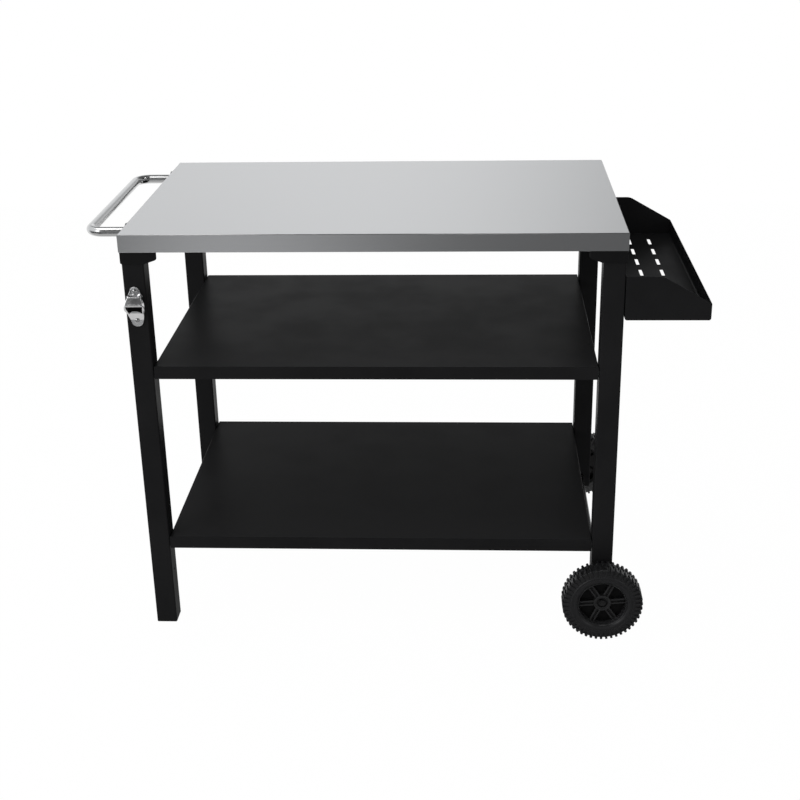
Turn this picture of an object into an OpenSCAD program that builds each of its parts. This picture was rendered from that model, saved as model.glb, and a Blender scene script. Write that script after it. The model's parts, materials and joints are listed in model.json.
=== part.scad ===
// Grill cart: a folded stainless worktop in moulded sockets on four square
// tube legs, two folded shelves, a push handle, a slotted side tray, a cast
// bottle opener and two lugged wheels on one through axle.
// X runs along the cart with the handle at -X and the tray and wheels at +X,
// Y runs from front to back with the front at -Y, and Z is up from the floor.
// Modules draw in cart coordinates, with X and Y zero at the worktop's middle,
// and cart() moves them so that the origin is under the middle of the whole.

/* [Worktop] */
// Length of the worktop along X
top_length = 1000; // [800:10:1200]
// Width of the worktop from front to back
top_width = 627; // [500:1:700]
// Height of the work surface above the floor
work_height = 884; // [820:1:950]
// Height of the folded rim
rim_height = 36.5; // [30:0.5:50]
// Thickness of the stainless sheet
top_sheet = 1; // [0.8:0.1:1.5]
// Outside radius of the folded top edge
top_fold = 1.6; // [1.6:0.1:3]
// Height of the hem folded up inside the rim
hem_height = 8; // [5:1:10]
// Width of the crown of a stiffener under the worktop
stiffener_crown = 40; // [25:1:60]
// Depth of a stiffener under the worktop
stiffener_depth = 20; // [12:1:24]
// Width of each welded flange of a stiffener
stiffener_flange = 12; // [8:1:16]
// Distance of each worktop stiffener from the middle
stiffener_offset = 120; // [90:5:140]

/* [Legs] */
// Outside width of the square leg tube
leg_side = 44; // [40:1:50]
// Wall of the leg tube
leg_wall = 1.5; // [1.2:0.1:2.5]
// Outside corner radius of the leg tube
leg_corner = 3; // [2.6:0.1:4]
// Height of the small tie hole in the left legs above the floor
tie_hole_height = 122; // [100:1:180]
// Diameter of the tie hole
tie_hole = 5; // [3:0.5:7]
// Thickness of a foot cap's tread
foot_tread = 3; // [2:0.5:6]
// Length of a foot cap's plug inside the tube
foot_plug = 18; // [12:1:25]
// Wall of a foot cap's plug
foot_wall = 2; // [1.5:0.5:3]
// Height of the set-back band around a foot cap's sole
foot_band = 1; // [0.5:0.25:1.5]
// Set-back of that band
foot_step = 0.4; // [0.2:0.1:1.2]
// Length of the right legs below the axle
leg_below_axle = 28; // [22:1:40]

/* [Leg sockets] */
// Moulded wall around the leg
socket_wall = 2; // [1.6:0.1:3]
// Clearance between socket and rim
socket_gap = 0.3; // [0.2:0.1:0.8]
// Clearance between socket and leg
socket_fit = 0.1; // [0.1:0.05:0.3]
// How far the socket reaches below the rim
socket_drop = 24; // [18:1:40]
// How far the gusset reaches beyond the leg
gusset_reach = 16; // [10:1:24]
// Corner radius of the gusset
gusset_corner = 5; // [4:1:9]
// Rise of the gusset's lower edge
gusset_rise = 8; // [1:0.5:10]
// Thickness of the socket's flange under the worktop
socket_flange = 4; // [3:0.5:6]
// Width of the flange beyond the socket, for its nuts
socket_ear = 22; // [20:1:30]

/* [Shelves] */
// Height of the middle shelf's surface
middle_height = 605; // [520:1:640]
// Height of the bottom shelf's surface
bottom_height = 212.5; // [200:0.5:280]
// Thickness of the shelf sheet
shelf_sheet = 1; // [0.8:0.1:1.5]
// Height of the shelf's folded skirt
shelf_skirt = 27; // [22:1:40]
// Outside radius of the shelf's folded edge
shelf_fold = 2; // [1.6:0.1:3]
// Width of the lip folded in under the front and back skirts
shelf_lip = 12; // [8:1:18]
// Depth of the stiffener under a shelf
shelf_stiffener_depth = 15; // [10:1:18]
// Distance of a shelf stiffener's end from the shelf's end
shelf_stiffener_end = 30; // [15:1:60]
// Distance of the shelf screws below the shelf's surface
shelf_screw_drop = 14; // [11:0.5:15]
// Spacing of the two shelf screws in a leg
shelf_screw_spacing = 20; // [16:1:24]

/* [Handle] */
// Outside diameter of the handle tube
handle_tube = 20; // [16:1:24]
// Wall of the handle tube
handle_wall = 1.2; // [1:0.1:2]
// Distance between the two arms' centres
handle_span = 450; // [350:5:480]
// Distance of the bar's centre from the rim
handle_reach = 81; // [60:1:110]
// Centre line radius of the bends
handle_bend = 30; // [26:1:45]
// Diameter of the round flange against the rim
handle_flange = 36; // [28:0.5:36]
// Thickness of the round flange
handle_flange_thickness = 3.5; // [2:0.5:5]
// Width of the bevel around the flange's face
handle_flange_bevel = 1; // [0.5:0.1:1.5]
// Length of the threaded plug in the tube's end
handle_plug = 16; // [12:1:20]

/* [Side tray] */
// Width of the tray outwards along X
tray_width = 169.6; // [140:0.1:200]
// How far the tray reaches beyond each leg, front and back
tray_overhang = 0.8; // [0:0.1:3]
// Height of the tray's underside above the floor
tray_bottom = 705; // [680:1:720]
// Height of the tray's inner wall and end plates
tray_height = 90; // [70:1:100]
// Height of the tray's outer wall
tray_lip = 34; // [25:1:50]
// Length of the level top edge of an end plate
tray_level = 72; // [50:1:90]
// Radius where the level top edge turns down
tray_turn = 30; // [15:1:40]
// Thickness of the tray sheet
tray_sheet = 1.2; // [1:0.1:2]
// Outside radius of the tray's lower bends
tray_bend = 5; // [3:0.5:8]
// Radius of the tray's upright edges
tray_edge = 2; // [2:0.1:3]
// Length of a floor slot
slot_length = 44; // [30:1:60]
// Width of a floor slot
slot_width = 7; // [5:0.5:9]
// Corner radius of a floor slot
slot_corner = 2; // [1:0.5:2.4]
// Spacing of the slots along the tray
slot_pitch = 80; // [70:1:85]
// Number of slots in each row
slot_count = 7; // [1:1:7]
// Distance of the first row of slots from the tray's inner side
slot_first = 67; // [50:1:75]
// Distance between the two rows of slots
slot_rows_apart = 46; // [30:1:55]
// Height of the lower tray screws above the tray's underside
tray_screw_low = 22; // [18:1:30]
// Spacing of the tray screws up the leg
tray_screw_spacing = 44; // [30:1:44]

/* [Wheels] */
// Radius of the wheel over its lugs
wheel_radius = 85; // [80:0.5:100]
// Width of the tyre
tyre_width = 44; // [36:1:46]
// Height of the lugs above the tyre's crown
lug_height = 5; // [3:0.5:7]
// Radius where the lugs start on the sidewall
lug_root = 67; // [66:0.5:70]
// Width of one lug along the tread
lug_width = 5.8; // [4:0.1:6.5]
// Number of lugs in each of the two staggered rows
lug_count = 47; // [36:1:50]
// Half of the groove between the two rows of lugs
lug_groove = 0.8; // [0.5:0.1:2]
// Width of the rounding of a lug from its flank to its tread
lug_bevel = 2; // [1.5:0.5:3]
// Radius of the sidewall's swell between bead and lugs
sidewall_swell = 8; // [6:0.5:9]
// Width of the tyre's rounded shoulder under the lugs
crown_shoulder = 7; // [5:0.5:9]
// Radius of the seat of the tyre on the rim
rim_seat = 52; // [48:0.5:54]
// Thickness of the rim under the tyre
rim_wall = 2.5; // [2:0.1:4]
// Depth of the rim's edges inside the tyre's sides
rim_inset = 3; // [2:0.5:5]
// Width of the bevelled lip at the rim's outer edge
rim_lip = 1.2; // [0.6:0.1:1.8]
// Draft of the rim's inner wall from its edges to the web
rim_draft = 2; // [1:0.5:4]
// Radius of the hub boss
boss_radius = 18; // [16:0.5:20]
// Height of the hub boss outside the wheel's middle plane
boss_height = 12.5; // [11:0.5:15]
// Draft of the boss, as growth of its radius at the web
boss_draft = 1; // [0.5:0.5:2]
// Radius of the boss's inner end
boss_back = 13; // [11:0.5:15]
// Width of a rib on the web's inner side
rib_width = 3; // [2:0.5:5]
// Thickness of the closed web
web = 4; // [3:0.5:6]
// Number of spokes
spoke_count = 6; // [5:1:8]
// Width of a spoke
spoke_width = 12; // [9:0.5:13]
// Width of the groove along a spoke
spoke_groove = 4.5; // [3:0.5:6]
// Height of a spoke above the web
spoke_height = 7; // [5:0.5:8]
// Turn of the spokes from the level, in degrees
spoke_turn = 5; // [0:1:59]
// Radius of the shallow recess in the boss
recess_wide = 15; // [14:0.5:15.5]
// Depth of the shallow recess
recess_depth = 2; // [1:0.5:4]
// Radius of the deep recess that holds the nut
recess_deep = 11.5; // [11:0.1:12]
// Height of the deep recess's floor above the middle plane
recess_floor = 4.5; // [3:0.5:5.5]
// Clearance between tyre and rim
tyre_gap = 0.1; // [0.05:0.05:0.2]

/* [Axle] */
// Diameter of the axle
axle_size = 10; // [9:0.5:12]
// Diameter of the axle's threaded ends
axle_thread = 8; // [6:0.5:8]
// Radial running clearance of hub and legs on the axle
axle_fit = 0.05; // [0.03:0.01:0.09]
// End float of a wheel on the axle
wheel_float = 0.3; // [0.2:0.1:0.6]
// Distance of the wheel's middle plane from the inner washer
hub_inner = 30; // [26:1:40]
// Thickness of an axle washer
washer = 1.5; // [1:0.1:2]
// Radius of an axle washer
washer_radius = 10; // [9:0.5:10.5]
// Width across the flats of the lock nut
nut_flats = 13; // [13:1:16]
// Height of the lock nut
nut_height = 7; // [5:0.5:8]
// Length of thread beyond the lock nut
thread_end = 1; // [0.5:0.5:2]

/* [Bottle opener] */
// Height of the opener's lower end above the floor
opener_bottom = 693.5; // [660:0.5:720]
// Height of the opener
opener_height = 83.5; // [80:0.5:92]
// Radius of the lower lobe
opener_lower = 12.5; // [11:0.5:14]
// Radius of the upper lobe
opener_upper = 10; // [8:0.5:11]
// Width of the opener over the straps beside the mouth
opener_width = 42.5; // [40:0.5:44]
// Width of the opener where it lies on the leg
opener_seat = 32; // [30:0.5:34]
// Thickness of the opener's back plate
opener_plate = 3; // [2.5:0.1:4]
// How much thicker the plate grows from its upper end to the hood
plate_rise = 2.5; // [1.5:0.1:3.5]
// Half width of the plate's shoulders under the upper lobe
shoulder_half = 15.5; // [14:0.1:16]
// Height of the shoulders above the opener's lower end
shoulder_height = 63.5; // [62:0.5:65]
// Half width of the waist between the shoulders and the hood
waist_half = 13.3; // [12:0.1:14]
// How far the hood stands out from the leg
hood_reach = 25; // [22:0.5:26]
// Half width of the hood at its bar
hood_half = 16.5; // [15:0.1:18]
// Thickness of the hood's bar
hood_bar = 6; // [5:0.5:7]
// Height of the hood's upper edge on the plate above the opener's lower end
hood_top = 68; // [66:0.5:69]
// Depth of the hood's hollow below its upper edge
hood_root = 9; // [8:0.5:10]
// Distance from the leg where the straps are widest
mouth_flare = 20; // [16:0.5:21]
// Width of the mouth under the hood
mouth_width = 34; // [30:0.5:35]
// Width of the mouth at the foot of the tooth
mouth_narrow = 25; // [22:0.5:28]
// Height of the mouth's lower edge above the opener's lower end
mouth_bottom = 35; // [33:0.5:36]
// Height of the hood bar's underside above the opener's lower end
mouth_top = 47.5; // [46:0.5:49]
// How far the tooth stands out from the leg
tooth_reach = 11; // [9:0.5:12]
// Thickness of the tooth's edge
tooth_edge = 5; // [3:0.5:6]
// Radius of the arch of the tooth's upper edge
tooth_arch = 20; // [18:0.5:24]
// Height of the jaw's ramp below the mouth
jaw_ramp = 20; // [16:0.5:21]

/* [Fasteners] */
// Diameter of the shelf, tray and handle screws
screw = 6; // [5:0.5:6]
// Radius of their button heads
screw_head = 5.5; // [5:0.1:6]
// Height of their button heads
screw_head_height = 3.3; // [2.5:0.1:4]
// Radial room around a screw in its hole
screw_room = 0.25; // [0.1:0.05:0.5]
// Radius of the rivet nuts' bodies in the legs
insert_radius = 4.4; // [4:0.1:5]
// Width of the rivet nuts' flanges around their bodies
insert_rim = 1.4; // [0.8:0.1:2]
// Thickness of the rivet nuts' flanges
insert_flange = 1.2; // [1.1:0.1:1.6]
// Length of the rivet nuts' bodies
insert_length = 11; // [8:1:14]
// Diameter of the small screws of sockets and opener
small_screw = 4.8; // [4:0.1:5]
// Radius of the small screws' heads
small_head = 4.8; // [4.2:0.1:5]
// Height of the small screws' heads
small_head_height = 2.6; // [2:0.1:3]
// Length of the small screws under their heads
small_screw_length = 12; // [8:1:14]
// Diameter of the weld studs under the worktop
stud = 5; // [4:0.5:6]
// Length of the weld studs
stud_length = 12; // [11:1:14]
// Width across the flats of the flange nuts on the studs
stud_nut_flats = 8; // [8:0.5:10]
// Height of the flange nuts' hexagons
stud_nut_height = 4; // [3:0.5:5]
// Radius of the flange nuts' flanges
stud_nut_flange = 5.6; // [5.5:0.1:7]
// Thickness of the flange nuts' flanges
stud_nut_plate = 1; // [0.6:0.1:1.5]

/* [Hidden] */
$fn = 64;
// Colours of the finishes
steel = [0.72, 0.73, 0.74];
bright = [0.82, 0.83, 0.84];
black_steel = [0.1, 0.1, 0.11];
black_plastic = [0.07, 0.07, 0.075];
rubber = [0.09, 0.09, 0.095];
zinc = [0.55, 0.56, 0.57];
// Overshoot of a cutting shape beyond what it cuts
over = 1;
// Radial clearance between a thread and its nut, or a plug and its tube
thread_fit = 0.05;
// Small steps of the tyre's ridge and of the opener's strap
ridge_step = 1.2;
strap_step = 2;
// How far the tyre's bead lies inside its sides
bead_inset = rim_inset + 0.5;
rim_bottom = work_height - rim_height;
top_under = work_height - top_sheet;
// Centre and faces of a leg, in from the rim by clearance and socket wall
leg_x = top_length / 2 - top_sheet - socket_gap - socket_wall - leg_side / 2;
leg_y = top_width / 2 - top_sheet - socket_gap - socket_wall - leg_side / 2;
leg_out_x = leg_x + leg_side / 2;
leg_out_y = leg_y + leg_side / 2;
leg_in_x = leg_x - leg_side / 2;
leg_in_y = leg_y - leg_side / 2;
leg_top = top_under - socket_flange - socket_gap;
socket_bottom = rim_bottom - socket_drop;
socket_in_x = leg_in_x - gusset_reach;
socket_in_y = leg_in_y - socket_wall;
stud_x = socket_in_x - socket_ear / 2;
stud_y = socket_in_y - socket_ear / 2;
socket_screw_height = rim_bottom - socket_drop / 2;
shelf_half = leg_in_x - insert_flange;
wheel_y = leg_out_y + washer + wheel_float + hub_inner;
axle_height = wheel_radius;
axle_shoulder = wheel_y + recess_floor + wheel_float;
right_leg_bottom = axle_height - leg_below_axle;
handle_height = rim_bottom + rim_height / 2;
tray_x = leg_out_x + insert_flange;
tray_outer = tray_x + tray_width;
tray_length = 2 * (leg_out_y + tray_overhang);
handle_outer = top_length / 2 + handle_reach + handle_tube / 2;
shift_x = (handle_outer - tray_outer) / 2;
opener_screws_at = [opener_lower, opener_height - opener_upper];
opener_half = opener_width / 2;
tyre_half = tyre_width / 2;
tyre_crown = wheel_radius - lug_height;

// Points on an arc, for outlines
function arc(x, y, radius, from, to, steps = 8) =
    [for (i = [0:steps]) let (a = from + (to - from) * i / steps) [x + radius * cos(a), y + radius * sin(a)]];

// An outline's points mirrored in the first axis and run backwards
function mirrored(points) = [for (i = [len(points) - 1:-1:0]) [points[i][0], -points[i][1]]];

// Moves what is drawn about the worktop's middle to the part's origin
module cart() {
    translate([shift_x, 0, 0]) children();
}

// Places what is drawn for the back right corner at one of the four corners
module corner(right, back) {
    mirror([right ? 0 : 1, 0, 0])
        mirror([0, back ? 0 : 1, 0])
            children();
}

// Stands an outline up in the XZ plane and extrudes it about Y
module across(depth) {
    rotate([90, 0, 0]) linear_extrude(depth, center = true) children();
}

// Stands an outline up in the YZ plane and extrudes it about X
module along(length) {
    rotate([90, 0, 90]) linear_extrude(length, center = true) children();
}

// Rectangle with round corners, about the origin
module round_rect(width, height, radius) {
    square([width, height - 2 * radius], center = true);
    square([width - 2 * radius, height], center = true);
    for (x = [-1, 1], y = [-1, 1])
        translate([x * (width / 2 - radius), y * (height / 2 - radius)]) circle(r = radius);
}

// Rectangle on the first axis with its two upper corners rounded
module fold_outline(width, height, radius) {
    translate([-width / 2, 0]) square([width, height - radius]);
    translate([radius - width / 2, 0]) square([width - 2 * radius, height]);
    for (x = [-1, 1])
        translate([x * (width / 2 - radius), height - radius]) circle(r = radius);
}

// Block whose four top edges are folds
module folded_block(length, width, height, radius) {
    intersection() {
        along(length) fold_outline(width, height, radius);
        across(width) fold_outline(length, height, radius);
    }
}

// Open-bottomed pan of folded sheet, standing on Z zero
module pan(length, width, height, sheet, radius) {
    difference() {
        folded_block(length, width, height, radius);
        translate([0, 0, -over])
            folded_block(length - 2 * sheet, width - 2 * sheet, height - sheet + over, radius - sheet);
    }
}

// Hat-section channel hanging from Z zero, along X
module hat_channel(length, crown, depth, flange, sheet) {
    along(length)
        difference() {
            union() {
                translate([-crown / 2, -depth]) square([crown, depth]);
                translate([-crown / 2 - flange, -sheet]) square([crown + 2 * flange, sheet]);
            }
            translate([sheet - crown / 2, sheet - depth]) square([crown - 2 * sheet, depth + over]);
        }
}

// Button head screw: the head stands on Z zero and the shank hangs below
module button_screw(size, head, head_height, length) {
    side = head_height / 2;
    flat = 0.6 * head;
    key = 0.42 * head;
    translate([0, 0, -length]) cylinder(d = size, h = length);
    difference() {
        union() {
            cylinder(r = head, h = side);
            translate([0, 0, side]) cylinder(r1 = head, r2 = flat, h = head_height - side);
        }
        translate([0, 0, side]) cylinder(r = key, h = head_height, $fn = 6);
    }
}

// Screw of the shelves, the tray and the handle
module large_screw(length) {
    button_screw(screw, screw_head, screw_head_height, length);
}

// Screw of the sockets and the opener
module short_screw() {
    button_screw(small_screw, small_head, small_head_height, small_screw_length);
}

// Rivet nut: its flange stands on Z zero and its body hangs below
module rivet_nut() {
    difference() {
        union() {
            cylinder(r = insert_radius + insert_rim, h = insert_flange);
            translate([0, 0, -insert_length]) cylinder(r = insert_radius, h = insert_length);
        }
        translate([0, 0, -insert_length - over])
            cylinder(d = screw + 2 * screw_room, h = insert_length + insert_flange + 2 * over);
    }
}

// Hexagon nut standing on Z zero
module hex_nut(flats, height, bore) {
    difference() {
        cylinder(r = flats / 2 / cos(30), h = height, $fn = 6);
        translate([0, 0, -over]) cylinder(d = bore, h = height + 2 * over);
    }
}

// Flat ring standing on Z zero
module ring(radius, bore_radius, height) {
    difference() {
        cylinder(r = radius, h = height);
        translate([0, 0, -over]) cylinder(r = bore_radius, h = height + 2 * over);
    }
}

// Puts the children at each of a shelf's screws in the back right leg, turned to face -X
module at_shelf_screws(height, x) {
    for (side = [-1, 1])
        translate([x, leg_y + side * shelf_screw_spacing / 2, height - shelf_screw_drop])
            rotate([0, -90, 0]) children();
}

// Puts the children at each tray screw in the back right leg, turned to face +X
module at_tray_screws(x) {
    for (row = [0, 1])
        translate([x, leg_y, tray_bottom + tray_screw_low + row * tray_screw_spacing])
            rotate([0, 90, 0]) children();
}

// Puts the children at the back right socket's two weld studs, on the worktop's underside
module at_studs() {
    translate([stud_x, leg_y, top_under]) children();
    translate([leg_x, stud_y, top_under]) children();
}

module tabletop() {
    inner_length = top_length - 2 * top_sheet;
    inner_width = top_width - 2 * top_sheet;
    color(steel) cart() {
        difference() {
            translate([0, 0, rim_bottom]) pan(top_length, top_width, rim_height, top_sheet, top_fold);
            for (side = [-1, 1])
                translate([-top_length / 2 - over, side * handle_span / 2, handle_height])
                    rotate([0, 90, 0]) cylinder(d = screw + 2 * screw_room, h = top_sheet + 2 * over);
        }
        for (side = [-1, 1]) {
            translate([0, side * (inner_width - top_sheet) / 2, rim_bottom + hem_height / 2])
                cube([2 * (socket_in_x - over), top_sheet, hem_height], center = true);
            translate([side * (inner_length - top_sheet) / 2, 0, rim_bottom + hem_height / 2])
                cube([top_sheet, 2 * (socket_in_y - over), hem_height], center = true);
        }
        for (right = [false, true], back = [false, true])
            corner(right, back) at_studs()
                translate([0, 0, -stud_length]) cylinder(d = stud, h = stud_length);
    }
}

module top_stiffener(side) {
    stiffener_length = 2 * (stud_x - socket_ear);
    color(zinc) cart()
        translate([0, side * stiffener_offset, top_under])
            hat_channel(stiffener_length, stiffener_crown, stiffener_depth, stiffener_flange, top_sheet);
}

// Flange nut hanging from Z zero, its flange uppermost
module flange_nut() {
    bore = stud + 2 * thread_fit;
    translate([0, 0, -stud_nut_plate]) ring(stud_nut_flange, bore / 2, stud_nut_plate);
    translate([0, 0, -stud_nut_plate - stud_nut_height]) hex_nut(stud_nut_flats, stud_nut_height, bore);
}

module top_nuts() {
    color(zinc) cart()
        for (right = [false, true], back = [false, true])
            corner(right, back) at_studs()
                translate([0, 0, -socket_flange]) flange_nut();
}

// Leg tube for the back right corner, from its lower end to inside the socket
module leg_tube(bottom) {
    difference() {
        translate([leg_x, leg_y, bottom]) linear_extrude(leg_top - bottom) difference() {
            round_rect(leg_side, leg_side, leg_corner);
            round_rect(leg_side - 2 * leg_wall, leg_side - 2 * leg_wall, leg_corner - leg_wall);
        }
        for (height = [middle_height, bottom_height])
            at_shelf_screws(height, leg_in_x) translate([0, 0, -leg_wall - over])
                cylinder(r = insert_radius + screw_room, h = leg_wall + 2 * over);
        translate([leg_x, leg_in_y - over, socket_screw_height])
            rotate([-90, 0, 0]) cylinder(d = small_screw + 2 * screw_room, h = leg_wall + 2 * over);
    }
}

module left_leg(back) {
    color(black_steel) cart() difference() {
        corner(false, back) difference() {
            leg_tube(foot_tread);
            translate([leg_in_x - over, leg_y, tie_hole_height])
                rotate([0, 90, 0]) cylinder(d = tie_hole, h = leg_wall + 2 * over);
        }
        if (!back)
            for (height = opener_screws_at)
                translate([-leg_x, -leg_out_y - over, opener_bottom + height])
                    rotate([-90, 0, 0]) cylinder(d = small_screw + 2 * screw_room, h = leg_wall + 2 * over);
    }
}

module right_leg(back) {
    color(black_steel) cart() corner(true, back) difference() {
        leg_tube(right_leg_bottom);
        at_tray_screws(leg_out_x) translate([0, 0, -leg_wall - over])
            cylinder(r = insert_radius + screw_room, h = leg_wall + 2 * over);
        translate([leg_x, leg_y, axle_height])
            rotate([90, 0, 0]) cylinder(r = axle_size / 2 + axle_fit, h = leg_side + 2 * over, center = true);
    }
}

// Tread and ribbed plug that close a tube's lower end, for the back right corner
module tube_end(bottom) {
    plug = leg_side - 2 * leg_wall - 2 * socket_fit;
    plug_corner = leg_corner - leg_wall;
    band_side = leg_side - 2 * foot_step;
    translate([leg_x, leg_y, bottom]) {
        translate([0, 0, foot_band])
            linear_extrude(foot_tread - foot_band) round_rect(leg_side, leg_side, leg_corner);
        linear_extrude(foot_band) round_rect(band_side, band_side, leg_corner);
        translate([0, 0, foot_tread]) linear_extrude(foot_plug) difference() {
            round_rect(plug, plug, plug_corner);
            difference() {
                square(plug - 2 * foot_wall, center = true);
                square([plug, foot_wall], center = true);
                square([foot_wall, plug], center = true);
            }
        }
    }
}

module foot(back) {
    color(black_plastic) cart() corner(false, back) tube_end(0);
}

module leg_plug(back) {
    color(black_plastic) cart() corner(true, back) tube_end(right_leg_bottom - foot_tread);
}

// Side view of the socket: it wraps the leg and its gusset slopes up and rounds off
module socket_outline() {
    foot_of_gusset = leg_in_x - socket_wall;
    corner_z = socket_bottom + gusset_rise + gusset_corner;
    polygon(concat(
        [[leg_out_x + socket_wall, top_under], [leg_out_x + socket_wall, socket_bottom + socket_wall]],
        [[leg_out_x, socket_bottom], [foot_of_gusset, socket_bottom]],
        arc(socket_in_x + gusset_corner, corner_z, gusset_corner, 250, 180),
        [[socket_in_x, top_under]]
    ));
}

module socket(right, back) {
    side_y = leg_side + 2 * socket_wall;
    pocket = (side_y - 3 * socket_wall) / 2;
    gusset_floor = socket_bottom + gusset_rise + gusset_corner;
    flange_z = top_under - socket_flange;
    hole = leg_side + 2 * socket_fit;
    hole_depth = leg_top + socket_gap - socket_bottom;
    color(black_plastic) cart() corner(right, back) difference() {
        intersection() {
            union() {
                translate([0, leg_y, 0]) across(side_y) socket_outline();
                translate([stud_x - socket_ear / 2, leg_y - side_y / 2, flange_z])
                    cube([socket_ear + over, side_y, socket_flange]);
                translate([socket_in_x, stud_y - socket_ear / 2, flange_z])
                    cube([leg_out_x + socket_wall - socket_in_x, socket_ear + over, socket_flange]);
            }
            translate([0, 0, socket_bottom - over])
                folded_block(2 * (leg_out_x + socket_wall), 2 * (leg_out_y + socket_wall),
                    top_under - socket_bottom + over, top_fold);
        }
        translate([leg_x, leg_y, socket_bottom - over])
            linear_extrude(hole_depth + over) round_rect(hole, hole, leg_corner);
        for (half = [-1, 1])
            translate([socket_in_x + socket_wall, leg_y + half * (pocket + socket_wall) / 2 - pocket / 2,
                gusset_floor])
                cube([gusset_reach - 2 * socket_wall, pocket, top_under - gusset_floor + over]);
        at_studs() cylinder(d = stud + 2 * screw_room, h = 3 * socket_flange, center = true);
        translate([leg_x, socket_in_y - over, socket_screw_height])
            rotate([-90, 0, 0]) cylinder(d = small_screw + 2 * screw_room, h = socket_wall + 2 * over);
    }
}

module socket_screws() {
    color(zinc) cart()
        for (right = [false, true], back = [false, true])
            corner(right, back) translate([leg_x, socket_in_y, socket_screw_height])
                rotate([90, 0, 0]) short_screw();
}

// Folded shelf between the leg pairs, with screw holes through its end flanges
module shelf(height) {
    color(black_steel) cart() difference() {
        translate([0, 0, height - shelf_skirt]) {
            pan(2 * shelf_half, 2 * leg_out_y, shelf_skirt, shelf_sheet, shelf_fold);
            for (side = [-1, 1])
                translate([0, side * (leg_out_y - shelf_sheet - shelf_lip / 2), shelf_sheet / 2])
                    cube([2 * (shelf_half - shelf_lip), shelf_lip, shelf_sheet], center = true);
        }
        for (right = [false, true], back = [false, true])
            corner(right, back) at_shelf_screws(height, shelf_half)
                cylinder(d = screw + 2 * screw_room, h = 4 * shelf_sheet, center = true);
    }
}

module shelf_stiffener(height) {
    color(black_steel) cart()
        translate([0, 0, height - shelf_sheet])
            hat_channel(2 * (shelf_half - shelf_stiffener_end), stiffener_crown, shelf_stiffener_depth,
                stiffener_flange, shelf_sheet);
}

module shelf_screws(height) {
    color(zinc) cart()
        for (right = [false, true], back = [false, true])
            corner(right, back) at_shelf_screws(height, shelf_half - shelf_sheet)
                large_screw(insert_length);
}

module shelf_inserts() {
    color(zinc) cart()
        for (right = [false, true], back = [false, true], height = [middle_height, bottom_height])
            corner(right, back) at_shelf_screws(height, leg_in_x) rivet_nut();
}

// Turns the children so that +X is outwards from the middle of the left rim
module on_left_rim() {
    translate([-top_length / 2, 0, handle_height]) mirror([1, 0, 0]) children();
}

module tube_ring() {
    difference() {
        circle(d = handle_tube);
        circle(d = handle_tube - 2 * handle_wall);
    }
}

module handle() {
    straight = handle_reach - handle_bend - handle_flange_thickness;
    color(bright) cart() on_left_rim() {
        for (side = [0, 1]) mirror([0, side, 0]) {
            translate([handle_flange_thickness, handle_span / 2, 0])
                rotate([0, 90, 0]) linear_extrude(straight) tube_ring();
            translate([handle_reach - handle_bend, handle_span / 2 - handle_bend, 0])
                rotate_extrude(angle = 90) translate([handle_bend, 0]) tube_ring();
        }
        translate([handle_reach, 0, 0]) rotate([90, 0, 0])
            linear_extrude(handle_span - 2 * handle_bend, center = true) tube_ring();
    }
}

module handle_flange_disc(side) {
    bevel = handle_flange_bevel;
    color(bright) cart() on_left_rim()
        translate([0, side * handle_span / 2, 0]) rotate([0, 90, 0]) difference() {
            union() {
                cylinder(d = handle_flange, h = handle_flange_thickness - bevel);
                translate([0, 0, handle_flange_thickness - bevel])
                    cylinder(d1 = handle_flange, d2 = handle_flange - 2 * bevel, h = bevel);
            }
            translate([0, 0, -over])
                cylinder(d = screw + 2 * screw_room, h = handle_flange_thickness + 2 * over);
        }
}

module handle_plugs() {
    color(zinc) cart() on_left_rim()
        for (side = [-1, 1])
            translate([handle_flange_thickness, side * handle_span / 2, 0]) rotate([0, 90, 0]) difference() {
                cylinder(d = handle_tube - 2 * handle_wall - 2 * thread_fit, h = handle_plug);
                translate([0, 0, -over]) cylinder(d = screw + 2 * thread_fit, h = handle_plug + 2 * over);
            }
}

module handle_screws() {
    grip = top_sheet + handle_flange_thickness;
    color(zinc) cart() on_left_rim()
        for (side = [-1, 1])
            translate([-top_sheet, side * handle_span / 2, 0]) rotate([0, -90, 0])
                large_screw(grip + handle_plug);
}

// End view of the tray: level top edge, a turn, then a slope down to the outer wall
module tray_outline() {
    slope = atan((tray_height - tray_lip) / (tray_width - tray_level));
    polygon(concat(
        arc(tray_bend, tray_bend, tray_bend, 180, 270),
        arc(tray_width - tray_bend, tray_bend, tray_bend, 270, 360),
        [[tray_width, tray_lip]],
        arc(tray_level - tray_turn * tan(slope / 2), tray_height - tray_turn, tray_turn, 90 - slope, 90),
        [[0, tray_height]]
    ));
}

// Inside of the tray's bent floor and walls, open at the top
module tray_inside() {
    bend = tray_bend - tray_sheet;
    polygon(concat(
        arc(tray_bend, tray_bend, bend, 180, 270),
        arc(tray_width - tray_bend, tray_bend, bend, 270, 360),
        [[tray_width - tray_sheet, tray_height + over], [tray_sheet, tray_height + over]]
    ));
}

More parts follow.
